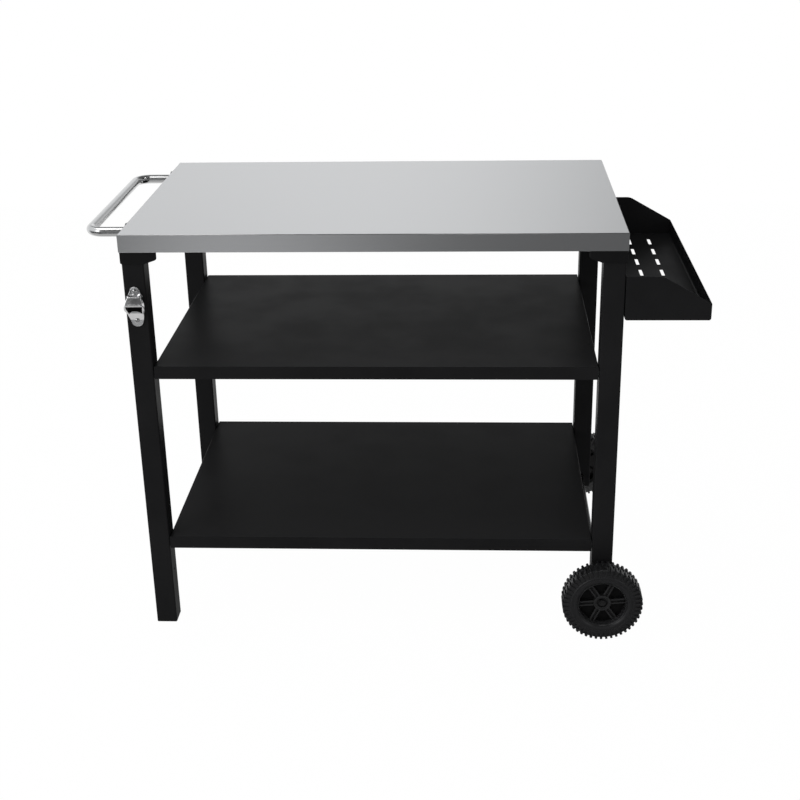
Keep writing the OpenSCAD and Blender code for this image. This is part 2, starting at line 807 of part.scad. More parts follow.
module side_tray() {
    inner_width = tray_width - 2 * tray_sheet;
    inner_length = tray_length - 2 * tray_sheet;
    screw_hole = screw + 2 * screw_room;
    color(black_steel) cart() translate([tray_x, 0, tray_bottom]) difference() {
        intersection() {
            across(tray_length) tray_outline();
            translate([tray_width / 2, 0, 0]) linear_extrude(tray_height)
                round_rect(tray_width, tray_length, tray_edge);
        }
        intersection() {
            across(inner_length) tray_inside();
            translate([tray_width / 2, 0, 0]) linear_extrude(tray_height + over)
                round_rect(inner_width, inner_length, tray_edge - tray_sheet);
        }
        for (row = [0, 1], i = [0:slot_count - 1])
            translate([slot_first + row * slot_rows_apart, (i - (slot_count - 1) / 2) * slot_pitch, -over])
                linear_extrude(tray_sheet + 2 * over) round_rect(slot_width, slot_length, slot_corner);
        for (back = [0, 1], row = [0, 1])
            mirror([0, back, 0])
                translate([0, leg_y, tray_screw_low + row * tray_screw_spacing])
                    rotate([0, 90, 0]) cylinder(d = screw_hole, h = 4 * tray_sheet, center = true);
    }
}

module tray_screws() {
    color(zinc) cart()
        for (back = [false, true])
            corner(true, back) at_tray_screws(tray_x + tray_sheet)
                large_screw(insert_length);
}

module tray_inserts() {
    color(zinc) cart()
        for (back = [false, true])
            corner(true, back) at_tray_screws(leg_out_x) rivet_nut();
}

// Right half of the opener's front view, upwards from the lower lobe to the shoulder
function opener_flank() = [
    [opener_lower + strap_step, opener_lower + 5 * strap_step / 2],
    [opener_seat / 2 + strap_step / 2, mouth_bottom - 3 * strap_step],
    [opener_half, mouth_bottom + 2 * strap_step],
    [opener_half, mouth_top - strap_step / 2],
    [opener_half - strap_step, mouth_top + strap_step],
    [hood_half, mouth_top + hood_bar + strap_step / 2],
    [waist_half, shoulder_height - 2 * strap_step],
    [shoulder_half, shoulder_height]
];

// Front view of the opener: lower lobe, straps, hood, waist, shoulders and upper lobe
module opener_front() {
    flank = opener_flank();
    polygon(concat(
        arc(0, opener_lower, opener_lower, 200, 340, 16),
        flank,
        arc(0, opener_height - opener_upper, opener_upper, 10, 170, 16),
        [for (i = [len(flank) - 1:-1:0]) [-flank[i][0], flank[i][1]]]
    ));
}

// Top view of the opener: it widens from the plate to the straps and narrows to the bar
module opener_plan() {
    seat = opener_seat / 2;
    bar = opener_half - 2 * strap_step;
    polygon([
        [-seat, 0], [seat, 0], [seat, opener_plate], [opener_half, mouth_flare],
        [bar, hood_reach], [-bar, hood_reach], [-opener_half, mouth_flare], [-seat, opener_plate]
    ]);
}

// Side view of the upper plate, which grows thicker towards the hood
module plate_side() {
    polygon([
        [0, hood_top - hood_root], [opener_plate, hood_top - hood_root],
        [opener_plate + plate_rise, hood_top], [opener_plate, opener_height], [0, opener_height]
    ]);
}

// Side view of the hood: it leaves the plate, slopes out and down and ends in the bar
module hood_side() {
    bar = hood_bar / 2;
    inner = hood_top - hood_root;
    polygon(concat(
        [[0, hood_top], [opener_plate + plate_rise, hood_top]],
        arc(hood_reach - bar, mouth_top + bar, bar, 60, -120, 10),
        [[hood_reach - hood_bar - strap_step / 2, mouth_top + hood_bar - strap_step / 2]],
        [[opener_plate + strap_step, inner], [0, inner]]
    ));
}

// Side view of the lower jaw: a wedge that rises from the plate to the tooth
module jaw_side() {
    ramp = mouth_bottom - jaw_ramp;
    under = mouth_bottom - 2 * tooth_edge + strap_step / 2;
    polygon([
        [0, ramp], [opener_plate, ramp], [tooth_reach, mouth_bottom - tooth_edge],
        [tooth_reach, mouth_bottom], [tooth_reach - strap_step, mouth_bottom],
        [opener_plate, under], [0, under]
    ]);
}

// Front view of the lower jaw: its upper edge is the arch of the tooth
module jaw_front() {
    intersection() {
        translate([-opener_half, 0]) square([opener_width, mouth_bottom]);
        translate([0, mouth_bottom - tooth_arch]) circle(r = tooth_arch);
    }
}

// Side view of the straps that join hood and jaw at both sides of the mouth
module strap_side() {
    ramp = mouth_bottom - jaw_ramp + strap_step;
    inner = hood_top - hood_root;
    polygon([
        [0, ramp], [opener_plate, ramp], [tooth_reach, mouth_bottom - tooth_edge - strap_step / 2],
        [mouth_flare + strap_step / 2, mouth_top - 3 * strap_step],
        [hood_reach - strap_step, mouth_top + strap_step],
        [opener_plate + strap_step, inner + strap_step], [0, inner + strap_step]
    ]);
}

// Front view of the mouth and of the hollow behind the hood
module mouth_front() {
    low = mouth_narrow / 2;
    high = mouth_width / 2;
    floor_height = mouth_bottom - 2 * tooth_edge + strap_step / 2;
    roof = hood_top - hood_root;
    polygon([
        [-low, floor_height], [low, floor_height], [high, mouth_top],
        [waist_half - strap_step, roof], [strap_step - waist_half, roof], [-high, mouth_top]
    ]);
}

// Draws the opener with its back on the front left leg: X across, Y up, Z outwards
module on_opener_seat() {
    translate([-leg_x, -leg_out_y, opener_bottom]) rotate([90, 0, 0]) children();
}

// Turns a side view with its first axis outwards and extrudes it across the opener
module across_opener() {
    rotate([0, -90, 0]) linear_extrude(opener_width, center = true) children();
}

module bottle_opener() {
    screw_hole = small_screw + 2 * screw_room;
    color(bright) cart() on_opener_seat() difference() {
        intersection() {
            linear_extrude(hood_reach) opener_front();
            translate([0, opener_height, 0]) rotate([90, 0, 0]) linear_extrude(opener_height) opener_plan();
            union() {
                across_opener() plate_side();
                across_opener() hood_side();
                intersection() {
                    across_opener() jaw_side();
                    linear_extrude(hood_reach) jaw_front();
                }
                difference() {
                    union() {
                        linear_extrude(opener_plate) opener_front();
                        across_opener() strap_side();
                    }
                    translate([0, 0, -over]) linear_extrude(hood_reach + 2 * over) mouth_front();
                }
            }
        }
        for (height = opener_screws_at)
            translate([0, height, -over]) {
                cylinder(d = screw_hole, h = hood_reach + 2 * over);
                translate([0, 0, over + opener_plate]) cylinder(r = small_head + screw_room, h = hood_reach);
            }
    }
}

module opener_screws() {
    color(bright) cart() on_opener_seat()
        for (height = opener_screws_at)
            translate([0, height, opener_plate])
                short_screw();
}

module axle() {
    thread = washer + nut_height + thread_end;
    color(zinc) cart() translate([leg_x, 0, axle_height]) rotate([90, 0, 0]) {
        cylinder(d = axle_size, h = 2 * axle_shoulder, center = true);
        cylinder(d = axle_thread, h = 2 * (axle_shoulder + thread), center = true);
    }
}

// Places the children on the axle's line at the back, with Z outwards
module at_back_wheel(y) {
    translate([leg_x, y, axle_height]) rotate([-90, 0, 0]) children();
}

module axle_washers() {
    color(zinc) cart() for (back = [0, 1]) mirror([0, back, 0]) {
        at_back_wheel(leg_out_y) ring(washer_radius, axle_size / 2 + axle_fit, washer);
        at_back_wheel(axle_shoulder) ring(washer_radius, axle_thread / 2 + axle_fit, washer);
    }
}

module axle_nuts() {
    color(zinc) cart() for (back = [0, 1]) mirror([0, back, 0])
        at_back_wheel(axle_shoulder + washer) hex_nut(nut_flats, nut_height, axle_thread + 2 * thread_fit);
}

// Section of the rim: seat, outer lip, and an inner wall with draft down to the web
module rim_section() {
    depth = tyre_half - rim_inset;
    bore = rim_seat - rim_wall;
    polygon([
        [rim_seat, -depth], [rim_seat, depth], [rim_seat - rim_lip, depth + rim_lip / 2],
        [bore, depth - rim_lip], [bore - rim_draft, web / 2], [bore - rim_draft, -web / 2], [bore, -depth]
    ]);
}

// Wheel hub with its middle plane at Z zero and its outer face towards +Z
module hub() {
    spoke_length = rim_seat - rim_wall;
    bore = axle_size / 2 + axle_fit;
    difference() {
        union() {
            rotate_extrude() rim_section();
            cylinder(r = spoke_length, h = web, center = true);
            cylinder(r1 = boss_radius + boss_draft, r2 = boss_radius, h = boss_height);
            translate([0, 0, -hub_inner])
                cylinder(r1 = boss_back, r2 = boss_back + 2 * boss_draft, h = hub_inner);
            for (i = [0:spoke_count - 1]) rotate([0, 0, spoke_turn + i * 360 / spoke_count]) {
                difference() {
                    translate([0, -spoke_width / 2, 0])
                        cube([spoke_length, spoke_width, web / 2 + spoke_height]);
                    translate([0, -spoke_groove / 2, web / 2 + spoke_height / 2])
                        cube([spoke_length + over, spoke_groove, spoke_height]);
                }
                rotate([0, 0, 180 / spoke_count]) translate([0, -rib_width / 2, -web / 2 - spoke_height])
                    cube([spoke_length, rib_width, spoke_height]);
            }
        }
        translate([0, 0, boss_height - recess_depth]) cylinder(r = recess_wide, h = recess_depth + over);
        translate([0, 0, recess_floor]) cylinder(r = recess_deep, h = boss_height);
        translate([0, 0, -hub_inner - over]) cylinder(r = bore, h = hub_inner + recess_floor + 2 * over);
    }
}

// Half section of the tyre's carcass: bead, bulging sidewall, ridge and crown
function carcass_half() = concat(
    [[rim_seat + tyre_gap, tyre_half - bead_inset]],
    arc(lug_root - sidewall_swell, tyre_half - sidewall_swell, sidewall_swell, 140, 90, 6),
    [[lug_root, tyre_half], [lug_root + ridge_step, tyre_half - ridge_step]],
    [[tyre_crown - ridge_step, tyre_half - crown_shoulder + 2 * ridge_step]],
    [[tyre_crown, tyre_half - crown_shoulder]]
);

// Section of one row of lugs: shoulder, flank, bevel and tread
module lug_section() {
    root = lug_root - ridge_step;
    polygon([
        [root, lug_groove], [root, tyre_half - 2 * ridge_step],
        [lug_root + ridge_step, tyre_half - ridge_step / 2],
        [wheel_radius - lug_bevel, tyre_half - ridge_step / 2],
        [wheel_radius, tyre_half - ridge_step / 2 - lug_bevel],
        [wheel_radius, lug_groove]
    ]);
}

// Bars that stand like a star, one for each lug
module lug_star() {
    start = lug_root - 2 * ridge_step;
    for (i = [0:lug_count - 1])
        rotate(i * 360 / lug_count) translate([start, -lug_width / 2])
            square([wheel_radius + over - start, lug_width]);
}

module lug_row() {
    intersection() {
        rotate_extrude() lug_section();
        linear_extrude(tyre_half) lug_star();
    }
}

// Tyre about its middle plane, with a lug of the outer row straight down
module tyre() {
    rotate_extrude() polygon(concat(carcass_half(), mirrored(carcass_half())));
    rotate([0, 0, -90]) lug_row();
    mirror([0, 0, 1]) rotate([0, 0, -90 + 180 / lug_count]) lug_row();
}

// Places a wheel's parts, drawn for the front, at the front or at the back
module wheel_place(back) {
    mirror([0, back ? 1 : 0, 0])
        translate([leg_x, -wheel_y, axle_height]) rotate([90, 0, 0]) children();
}

module wheel_hub(back) {
    color(black_plastic) cart() wheel_place(back) hub();
}

module wheel_tyre(back) {
    color(rubber) cart() wheel_place(back) tyre();
}

tabletop();
top_stiffener(-1);  // top_stiffener_front
top_stiffener(1);  // top_stiffener_back
top_nuts();
left_leg(false);  // leg_front_left
left_leg(true);  // leg_back_left
right_leg(false);  // leg_front_right
right_leg(true);  // leg_back_right
socket(false, false);  // socket_front_left
socket(false, true);  // socket_back_left
socket(true, false);  // socket_front_right
socket(true, true);  // socket_back_right
socket_screws();
foot(false);  // foot_front_left
foot(true);  // foot_back_left
leg_plug(false);  // plug_front_right
leg_plug(true);  // plug_back_right
shelf(middle_height);  // middle_shelf
shelf(bottom_height);  // bottom_shelf
shelf_stiffener(middle_height);  // middle_shelf_stiffener
shelf_stiffener(bottom_height);  // bottom_shelf_stiffener
shelf_screws(middle_height);  // middle_shelf_screws
shelf_screws(bottom_height);  // bottom_shelf_screws
shelf_inserts();
handle();
handle_flange_disc(-1);  // handle_flange_front
handle_flange_disc(1);  // handle_flange_back
handle_plugs();
handle_screws();
side_tray();
tray_screws();
tray_inserts();
bottle_opener();
opener_screws();
axle();
axle_washers();
axle_nuts();
wheel_hub(false);  // front_hub
wheel_tyre(false);  // front_tyre
wheel_hub(true);  // back_hub
wheel_tyre(true);  // back_tyre
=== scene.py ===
"""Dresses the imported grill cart: finishes, soft edges, tyres, studio, lamps and camera.

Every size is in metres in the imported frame: X along the cart with the handle at -X,
Y from front to back and Z up from the floor.
"""
from __future__ import annotations

import json
import logging
import math
from dataclasses import dataclass
from enum import Enum
from typing import Iterable, Mapping, Sequence

import bmesh
import bpy
from bmesh.types import BMEdge, BMesh, BMVert
from mathutils import Matrix, Vector

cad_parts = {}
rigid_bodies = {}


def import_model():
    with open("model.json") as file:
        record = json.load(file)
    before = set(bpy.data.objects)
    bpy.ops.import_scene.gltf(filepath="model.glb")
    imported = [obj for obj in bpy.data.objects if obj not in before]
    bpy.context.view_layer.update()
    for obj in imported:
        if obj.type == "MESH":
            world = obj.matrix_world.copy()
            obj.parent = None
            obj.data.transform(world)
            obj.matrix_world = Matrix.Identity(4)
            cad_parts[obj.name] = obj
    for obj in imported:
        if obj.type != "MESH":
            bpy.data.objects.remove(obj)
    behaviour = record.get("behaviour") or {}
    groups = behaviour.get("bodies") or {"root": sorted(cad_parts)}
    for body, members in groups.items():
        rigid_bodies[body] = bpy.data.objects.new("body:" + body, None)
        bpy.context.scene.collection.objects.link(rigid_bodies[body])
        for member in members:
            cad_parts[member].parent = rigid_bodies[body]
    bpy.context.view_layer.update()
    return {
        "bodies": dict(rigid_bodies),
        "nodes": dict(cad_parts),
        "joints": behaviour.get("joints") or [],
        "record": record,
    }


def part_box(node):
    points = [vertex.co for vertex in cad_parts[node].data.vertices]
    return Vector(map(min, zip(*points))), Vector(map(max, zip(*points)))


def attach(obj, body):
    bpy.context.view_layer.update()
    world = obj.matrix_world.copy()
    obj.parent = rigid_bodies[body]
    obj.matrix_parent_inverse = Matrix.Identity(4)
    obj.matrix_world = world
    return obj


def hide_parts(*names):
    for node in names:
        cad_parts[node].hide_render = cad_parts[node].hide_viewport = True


Socket = bpy.types.NodeSocket
Rgb = tuple[float, float, float]
Point = tuple[float, float, float]
Profile = list[tuple[float, float]]
Steps = tuple[tuple[float, float], ...]  # Pairs of distances in millimetres.
Sweep = tuple[float, float, int]  # An arc's first and last angle in degrees, and its chords.
LOG = logging.getLogger("grill_cart")
MM = 0.001
WELD_GAP = 0.004 * MM  # Corners of a CAD mesh closer than this become one.
FLAT_ANGLE = math.radians(0.4)  # Faces of a CAD mesh that meet at less become one.
CREASE_ANGLE = math.radians(35)  # Sharper edges of a softened piece are rounded.
GRAIN_MAP = "grain"  # The UV map that brushed lines follow.
NOISE_RANGE = (0.3, 0.7)  # Where a noise goes from one tone of a finish to the other.
WHITE: Rgb = (1.0, 1.0, 1.0)


class Slot(Enum):
    """Material slots of the record that a new piece can take its finish from."""

    STAINLESS = "brushed_stainless"
    POLISHED = "polished_stainless"
    CHROME = "satin_chrome"
    POWDER = "black_powder_coat"
    PLASTIC = "black_plastic"
    WHEEL = "wheel_plastic"
    RUBBER = "tyre_rubber"
    ZINC = "zinc_steel"
    DARK = "dark_steel"


class Body(Enum):
    """Moving bodies of the cart."""

    CART = "cart"
    FRONT_WHEEL = "front_wheel"
    BACK_WHEEL = "back_wheel"


class Spot(Enum):
    """A named place on the cart, by the signs of the directions that point outwards there."""

    @property
    def label(self) -> str:
        """Returns the place's words in the nodes' names."""
        return self.name.lower()


class Corner(Spot):
    """The cart's corners, with the signs of X and Y."""

    FRONT_LEFT = (-1, -1)
    BACK_LEFT = (-1, 1)
    FRONT_RIGHT = (1, -1)
    BACK_RIGHT = (1, 1)


class Side(Spot):
    """The cart's long sides, with the sign of Y."""

    FRONT = -1
    BACK = 1


@dataclass(frozen=True)
class Grade:
    """A smooth change of level over a range of places, directions or distances."""

    start: float
    end: float
    at_start: float
    at_end: float


class NodeBoard:
    """A material's or world's node tree with short calls for adding and joining nodes."""

    def __init__(self, tree: bpy.types.NodeTree) -> None:
        """Starts from an empty tree.

        Args:
            tree: The node tree to fill.
        """
        self.tree = tree
        self.tree.nodes.clear()

    def add(self, kind: str, values: Mapping[str, object] | None = None,
            **settings: object) -> bpy.types.Node:
        """Adds a node and sets its properties and inputs.

        Args:
            kind: The node's type name.
            values: Values of its inputs, by the inputs' names.
            **settings: Values of the node's own properties.

        Returns:
            The new node.
        """
        node = self.tree.nodes.new(kind)
        for key, value in settings.items():
            setattr(node, key, value)
        for key, value in (values or {}).items():
            node.inputs[key].default_value = value
        return node

    def join(self, source: Socket, target: Socket) -> None:
        """Links an output to an input."""
        self.tree.links.new(source, target)

    def axes(self, source: str) -> tuple[Socket, ...]:
        """Splits texture coordinates into their three axes.

        Args:
            source: Name of the coordinates.

        Returns:
            The sockets of X, Y and Z.
        """
        axes = self.add("ShaderNodeSeparateXYZ")
        self.join(self.add("ShaderNodeTexCoord").outputs[source], axes.inputs[0])
        return tuple(axes.outputs)

    def noise(self, place: Socket, scale: float, detail: float) -> Socket:
        """Adds a noise pattern.

        Args:
            place: The coordinates that it follows.
            scale: Its spots to a unit of the coordinates.
            detail: Number of its finer layers.

        Returns:
            The pattern's socket.
        """
        node = self.add("ShaderNodeTexNoise", {"Scale": scale, "Detail": detail})
        self.join(place, node.inputs["Vector"])
        return node.outputs["Fac"]

    def spread(self, value: Socket, grade: Grade) -> Socket:
        """Maps a value smoothly from one range to another.

        Args:
            value: The socket to map.
            grade: The range that is read and the levels at its ends.

        Returns:
            The mapped value's socket.
        """
        node = self.add(
            "ShaderNodeMapRange",
            {"From Min": grade.start, "From Max": grade.end,
             "To Min": grade.at_start, "To Max": grade.at_end},
            interpolation_type="SMOOTHSTEP")
        self.join(value, node.inputs["Value"])
        return node.outputs["Result"]

    def fold(self, operation: str, *values: Socket) -> Socket:
        """Joins values one after the other by an operation.

        Args:
            operation: Name of the Math node's operation.
            *values: The values' sockets.

        Returns:
            The result's socket.
        """
        result = values[0]
        for value in values[1:]:
            node = self.add("ShaderNodeMath", operation=operation)
            self.join(result, node.inputs[0])
            self.join(value, node.inputs[1])
            result = node.outputs[0]
        return result

    def blend(self, factor: Socket | float, first: Socket, second: Socket) -> Socket:
        """Mixes two shaders.

        Args:
            factor: Share of the second shader, as a socket or a number.
            first: First shader.
            second: Second shader.

        Returns:
            The mixed shader's socket.
        """
        node = self.add("ShaderNodeMixShader")
        if isinstance(factor, float):
            node.inputs["Fac"].default_value = factor
        else:
            self.join(factor, node.inputs["Fac"])
        self.join(first, node.inputs[1])
        self.join(second, node.inputs[2])
        return node.outputs[0]

    def glow(self, kind: str, colour: Rgb = WHITE, strength: Socket | None = None) -> Socket:
        """Adds a shader that shines by itself.

        Args:
            kind: The shader node's type name.
            colour: Its colour.
            strength: Its strength, or None for 1.

        Returns:
            The shader's socket.
        """
        node = self.add(kind, {"Color": (*colour, 1.0)})
        if strength is not None:
            self.join(strength, node.inputs["Strength"])
        return node.outputs[0]

    def seen_rays(self) -> tuple[Socket, Socket]:
        """Finds out whether a ray comes from the camera or from a mirror or glass.

        Returns:
            The camera ray's socket and the joined socket of glossy and transmitted rays.
        """
        path = self.add("ShaderNodeLightPath").outputs
        mirrored = self.fold("MAXIMUM", path["Is Glossy Ray"], path["Is Transmission Ray"])
        return path["Is Camera Ray"], mirrored


@dataclass(frozen=True)
class Finish:
    """A procedural surface: a base colour that varies a little, its gloss and its fine relief."""

    slot: Slot
    colour: Rgb
    roughness: float
    metallic: float = 0.0
    specular: float = 0.5
    colour_spread: float = 0.12
    gloss_spread: float = 0.04
    patch: float = 9.0
    grain: float = 900.0
    relief: float = 0.06
    depth: float = 0.2 * MM

    def material(self) -> bpy.types.Material:
        """Builds the finish.

        Returns:
            The new material.
        """
        material = bpy.data.materials.new(self.slot.value)
        material.use_nodes = True
        board = NodeBoard(material.node_tree)
        shader = board.add("ShaderNodeBsdfPrincipled", {
            "Metallic": self.metallic, "Specular IOR Level": self.specular})
        output = board.add("ShaderNodeOutputMaterial")
        board.join(shader.outputs["BSDF"], output.inputs["Surface"])
        self.place_pattern(board, shader)
        return material

    def place_pattern(self, board: NodeBoard, shader: bpy.types.Node) -> None:
        """Adds the patches of colour and gloss and the fine grain to the shader.

        Args:
            board: The material's node tree.
            shader: The Principled shader.
        """
        place = board.add("ShaderNodeTexCoord").outputs["Object"]
        patches = board.noise(place, self.patch, detail=4.0)
        self.mix_colour(board, shader, patches)
        self.vary_gloss(board, shader, patches)
        self.add_relief(board, shader, board.noise(place, self.grain, detail=2.0))

    def mix_colour(self, board: NodeBoard, shader: bpy.types.Node, factor: Socket) -> None:
        """Varies the base colour between a darker and a lighter tone.

        Args:
            board: The material's node tree.
            shader: The Principled shader.
            factor: Where between the two tones each point lies.
        """
        ramp = board.add("ShaderNodeValToRGB")
        low, high = ramp.color_ramp.elements
        low.position, high.position = NOISE_RANGE
        for end, tone in ((low, 1 - self.colour_spread), (high, 1 + self.colour_spread)):
            end.color = (*(min(channel * tone, 1.0) for channel in self.colour), 1.0)
        board.join(factor, ramp.inputs["Fac"])
        board.join(ramp.outputs["Color"], shader.inputs["Base Color"])

    def vary_gloss(self, board: NodeBoard, shader: bpy.types.Node, factor: Socket) -> None:
        """Varies the roughness between a glossier and a duller one.

        Args:
            board: The material's node tree.
            shader: The Principled shader.
            factor: Where between the two each point lies.
        """
        gloss = Grade(*NOISE_RANGE, self.roughness - self.gloss_spread,
                      self.roughness + self.gloss_spread)
        board.join(board.spread(factor, gloss), shader.inputs["Roughness"])

    def add_relief(self, board: NodeBoard, shader: bpy.types.Node, height: Socket) -> None:
        """Adds a fine bump.

        Args:
            board: The material's node tree.
            shader: The Principled shader.
            height: The relief's height.
        """
        bump = board.add("ShaderNodeBump", {"Strength": self.relief, "Distance": self.depth})
        board.join(height, bump.inputs["Height"])
        board.join(bump.outputs["Normal"], shader.inputs["Normal"])


@dataclass(frozen=True)
class BrushedFinish(Finish):
    """Brushed sheet: fine lines along the piece's own UV map, and a stretched highlight."""

    anisotropy: float = 0.7
    across_grain: float = 0.25
    lines: Point = (5.0, 1300.0, 1.0)

    def place_pattern(self, board: NodeBoard, shader: bpy.types.Node) -> None:
        """Adds the brushed lines, which turn with the folds, and the stretched highlight.

        Args:
            board: The material's node tree.
            shader: The Principled shader.
        """
        shader.inputs["Anisotropic"].default_value = self.anisotropy
        shader.inputs["Anisotropic Rotation"].default_value = self.across_grain
        tangent = board.add("ShaderNodeTangent", direction_type="UV_MAP", uv_map=GRAIN_MAP)
        board.join(tangent.outputs["Tangent"], shader.inputs["Tangent"])
        place = board.add("ShaderNodeTexCoord").outputs["UV"]
        stretch = board.add("ShaderNodeMapping", {"Scale": self.lines})
        board.join(place, stretch.inputs["Vector"])
        lines = board.noise(stretch.outputs["Vector"], scale=1.0, detail=3.0)
        self.mix_colour(board, shader, lines)
        self.vary_gloss(board, shader, board.noise(place, self.patch, detail=2.0))
        self.add_relief(board, shader, lines)


@dataclass(frozen=True)
class PaintedRecessShadeFinish(Finish):
    """Moulded plastic with painted shade: darker colour and less specular on the floor of its
    recesses than on its ribs.
    """

    # Painted shade in the hub's hollows: at the recess level the colour and the specular level
    # fall to the share below, at the rib level they are full.
    recess_level: float = 343.5 * MM
    rib_level: float = 351.5 * MM
    painted_shade_share: float = 0.24

    def mix_colour(self, board: NodeBoard, shader: bpy.types.Node, factor: Socket) -> None:
        """Paints shade into the base colour and the specular level of the recess floors, by the
        distance from the cart's middle.

        Args:
            board: The material's node tree.
            shader: The Principled shader.
            factor: Where between the two tones each point lies.
        """
        super().mix_colour(board, shader, factor)
        colour = shader.inputs["Base Color"].links[0].from_socket
        distance = board.add("ShaderNodeMath", operation="ABSOLUTE")
        board.join(board.axes("Object")[1], distance.inputs[0])
        shaded = board.add("ShaderNodeVectorMath", operation="SCALE")
        board.join(colour, shaded.inputs[0])
        board.join(shaded.outputs[0], shader.inputs["Base Color"])
        # Painted shade: the recess floors get a darker colour and a lower specular level.
        for full, target in ((1.0, shaded.inputs["Scale"]),
                             (self.specular, shader.inputs["Specular IOR Level"])):
            grade = Grade(self.recess_level, self.rib_level, full * self.painted_shade_share, full)
            board.join(board.spread(distance.outputs[0], grade), target)


FINISHES = (
    BrushedFinish(Slot.STAINLESS, (0.76, 0.763, 0.77), roughness=0.27, metallic=1.0,
                  colour_spread=0.02, gloss_spread=0.0, patch=3.0, relief=0.01),
    Finish(Slot.POLISHED, (0.6, 0.6, 0.6), roughness=0.2, metallic=1.0,
           colour_spread=0.03, gloss_spread=0.02, patch=14.0, relief=0.004),
    Finish(Slot.CHROME, (0.86, 0.86, 0.865), roughness=0.2, metallic=1.0,
           colour_spread=0.05, patch=60.0, grain=1500.0, relief=0.03),
    Finish(Slot.POWDER, (0.0117, 0.0117, 0.0122), roughness=0.4, specular=0.021,
           grain=1600.0, relief=0.05),
    Finish(Slot.PLASTIC, (0.008, 0.008, 0.0084), roughness=0.42, specular=0.08, grain=2200.0),
    # The hubs' recesses carry painted shade.
    PaintedRecessShadeFinish(Slot.WHEEL, (0.017, 0.0171, 0.0178), roughness=0.24, grain=1800.0,
                   relief=0.05),
    Finish(Slot.RUBBER, (0.0148, 0.0149, 0.0158), roughness=0.33, specular=0.34,
           grain=1100.0, relief=0.08),
    Finish(Slot.ZINC, (0.55, 0.56, 0.57), roughness=0.34, metallic=1.0, patch=120.0,
           relief=0.08),
    Finish(Slot.DARK, (0.012, 0.012, 0.0125), roughness=0.24, patch=120.0),
)


def clamp(value: float, low: float = 0.0, high: float = 1.0) -> float:
    """Returns the value, kept between the two limits."""
    return min(max(value, low), high)


def arc_points(centre: tuple[float, float], radius: float, sweep: Sweep) -> Profile:
    """Lists points on an arc.

    Args:
        centre: Centre of the arc.
        radius: Its radius.
        sweep: Its first and last angle in degrees and the number of its chords.

    Returns:
        The points from the first angle to the last.
    """
    start, end, steps = sweep
    angles = [math.radians(start + (end - start) * i / steps) for i in range(steps + 1)]
    return [(centre[0] + radius * math.cos(a), centre[1] + radius * math.sin(a)) for a in angles]


def merged_copy(node: bpy.types.Object, above: float = -math.inf) -> BMesh:
    """Copies a CAD node's loose triangles into a joined mesh with whole flat faces.

    Args:
        node: The CAD node's object.
        above: Faces below this height stay as they are.

    Returns:
        The joined mesh.
    """
    mesh = bmesh.new()
    mesh.from_mesh(node.data)
    bmesh.ops.remove_doubles(mesh, verts=mesh.verts, dist=WELD_GAP)
    upper = [vert for vert in mesh.verts if vert.co.z > above]
    edges = [edge for edge in mesh.edges if any(vert.co.z > above for vert in edge.verts)]
    bmesh.ops.dissolve_limit(mesh, angle_limit=FLAT_ANGLE, verts=upper, edges=edges)
    bmesh.ops.recalc_face_normals(mesh, faces=mesh.faces)
    return mesh


def extrude_outline(outline: Iterable[Point], step: Point) -> BMesh:
    """Makes a solid of a flat outline.

    Args:
        outline: Corners of its first face.
        step: Way from the first face to the opposite one.

    Returns:
        The solid's mesh, whose faces may still point inwards.
    """
    mesh = bmesh.new()
    face = mesh.faces.new([mesh.verts.new(corner) for corner in outline])
    made = bmesh.ops.extrude_face_region(mesh, geom=[face])["geom"]
    moved = [item for item in made if isinstance(item, BMVert)]
    bmesh.ops.translate(mesh, verts=moved, vec=step)
    return mesh


def sharp_edges(mesh: BMesh, angle: float) -> list[BMEdge]:
    """Lists the edges where two faces meet at more than an angle.

    Args:
        mesh: The mesh to look at.
        angle: Least angle between the two faces.

    Returns:
        The sharp edges.
    """
    return [edge for edge in mesh.edges
            if len(edge.link_faces) == 2 and edge.calc_face_angle(0.0) > angle]


def bevel_edges(mesh: BMesh, edges: Sequence[BMEdge], width: float, segments: int = 2) -> None:
    """Rounds edges.

    Args:
        mesh: The mesh to change.
        edges: The edges to round.
        width: Width of the rounding on each face.
        segments: Number of faces across the rounding.
    """
    bmesh.ops.bevel(mesh, geom=edges, offset=width, offset_type="OFFSET", segments=segments,
                    profile=0.5, affect="EDGES", clamp_overlap=False, material=-1)


def finish_object(name: str, mesh: BMesh,
                  smooth_angle: float = math.radians(40)) -> bpy.types.Object:
    """Makes an object of a mesh, shaded smooth up to an angle and weighted by face area.

    Args:
        name: The piece's name.
        mesh: The mesh, which is freed.
        smooth_angle: Edges sharper than this stay sharp.

    Returns:
        The new object.
    """
    data = bpy.data.meshes.new(name)
    mesh.to_mesh(data)
    mesh.free()
    data.shade_smooth()
    data.set_sharp_from_angle(angle=smooth_angle)
    piece = bpy.data.objects.new(name, data)
    bpy.context.scene.collection.objects.link(piece)
    weighted = piece.modifiers.new("weighted", "WEIGHTED_NORMAL")
    weighted.keep_sharp = True
    return piece


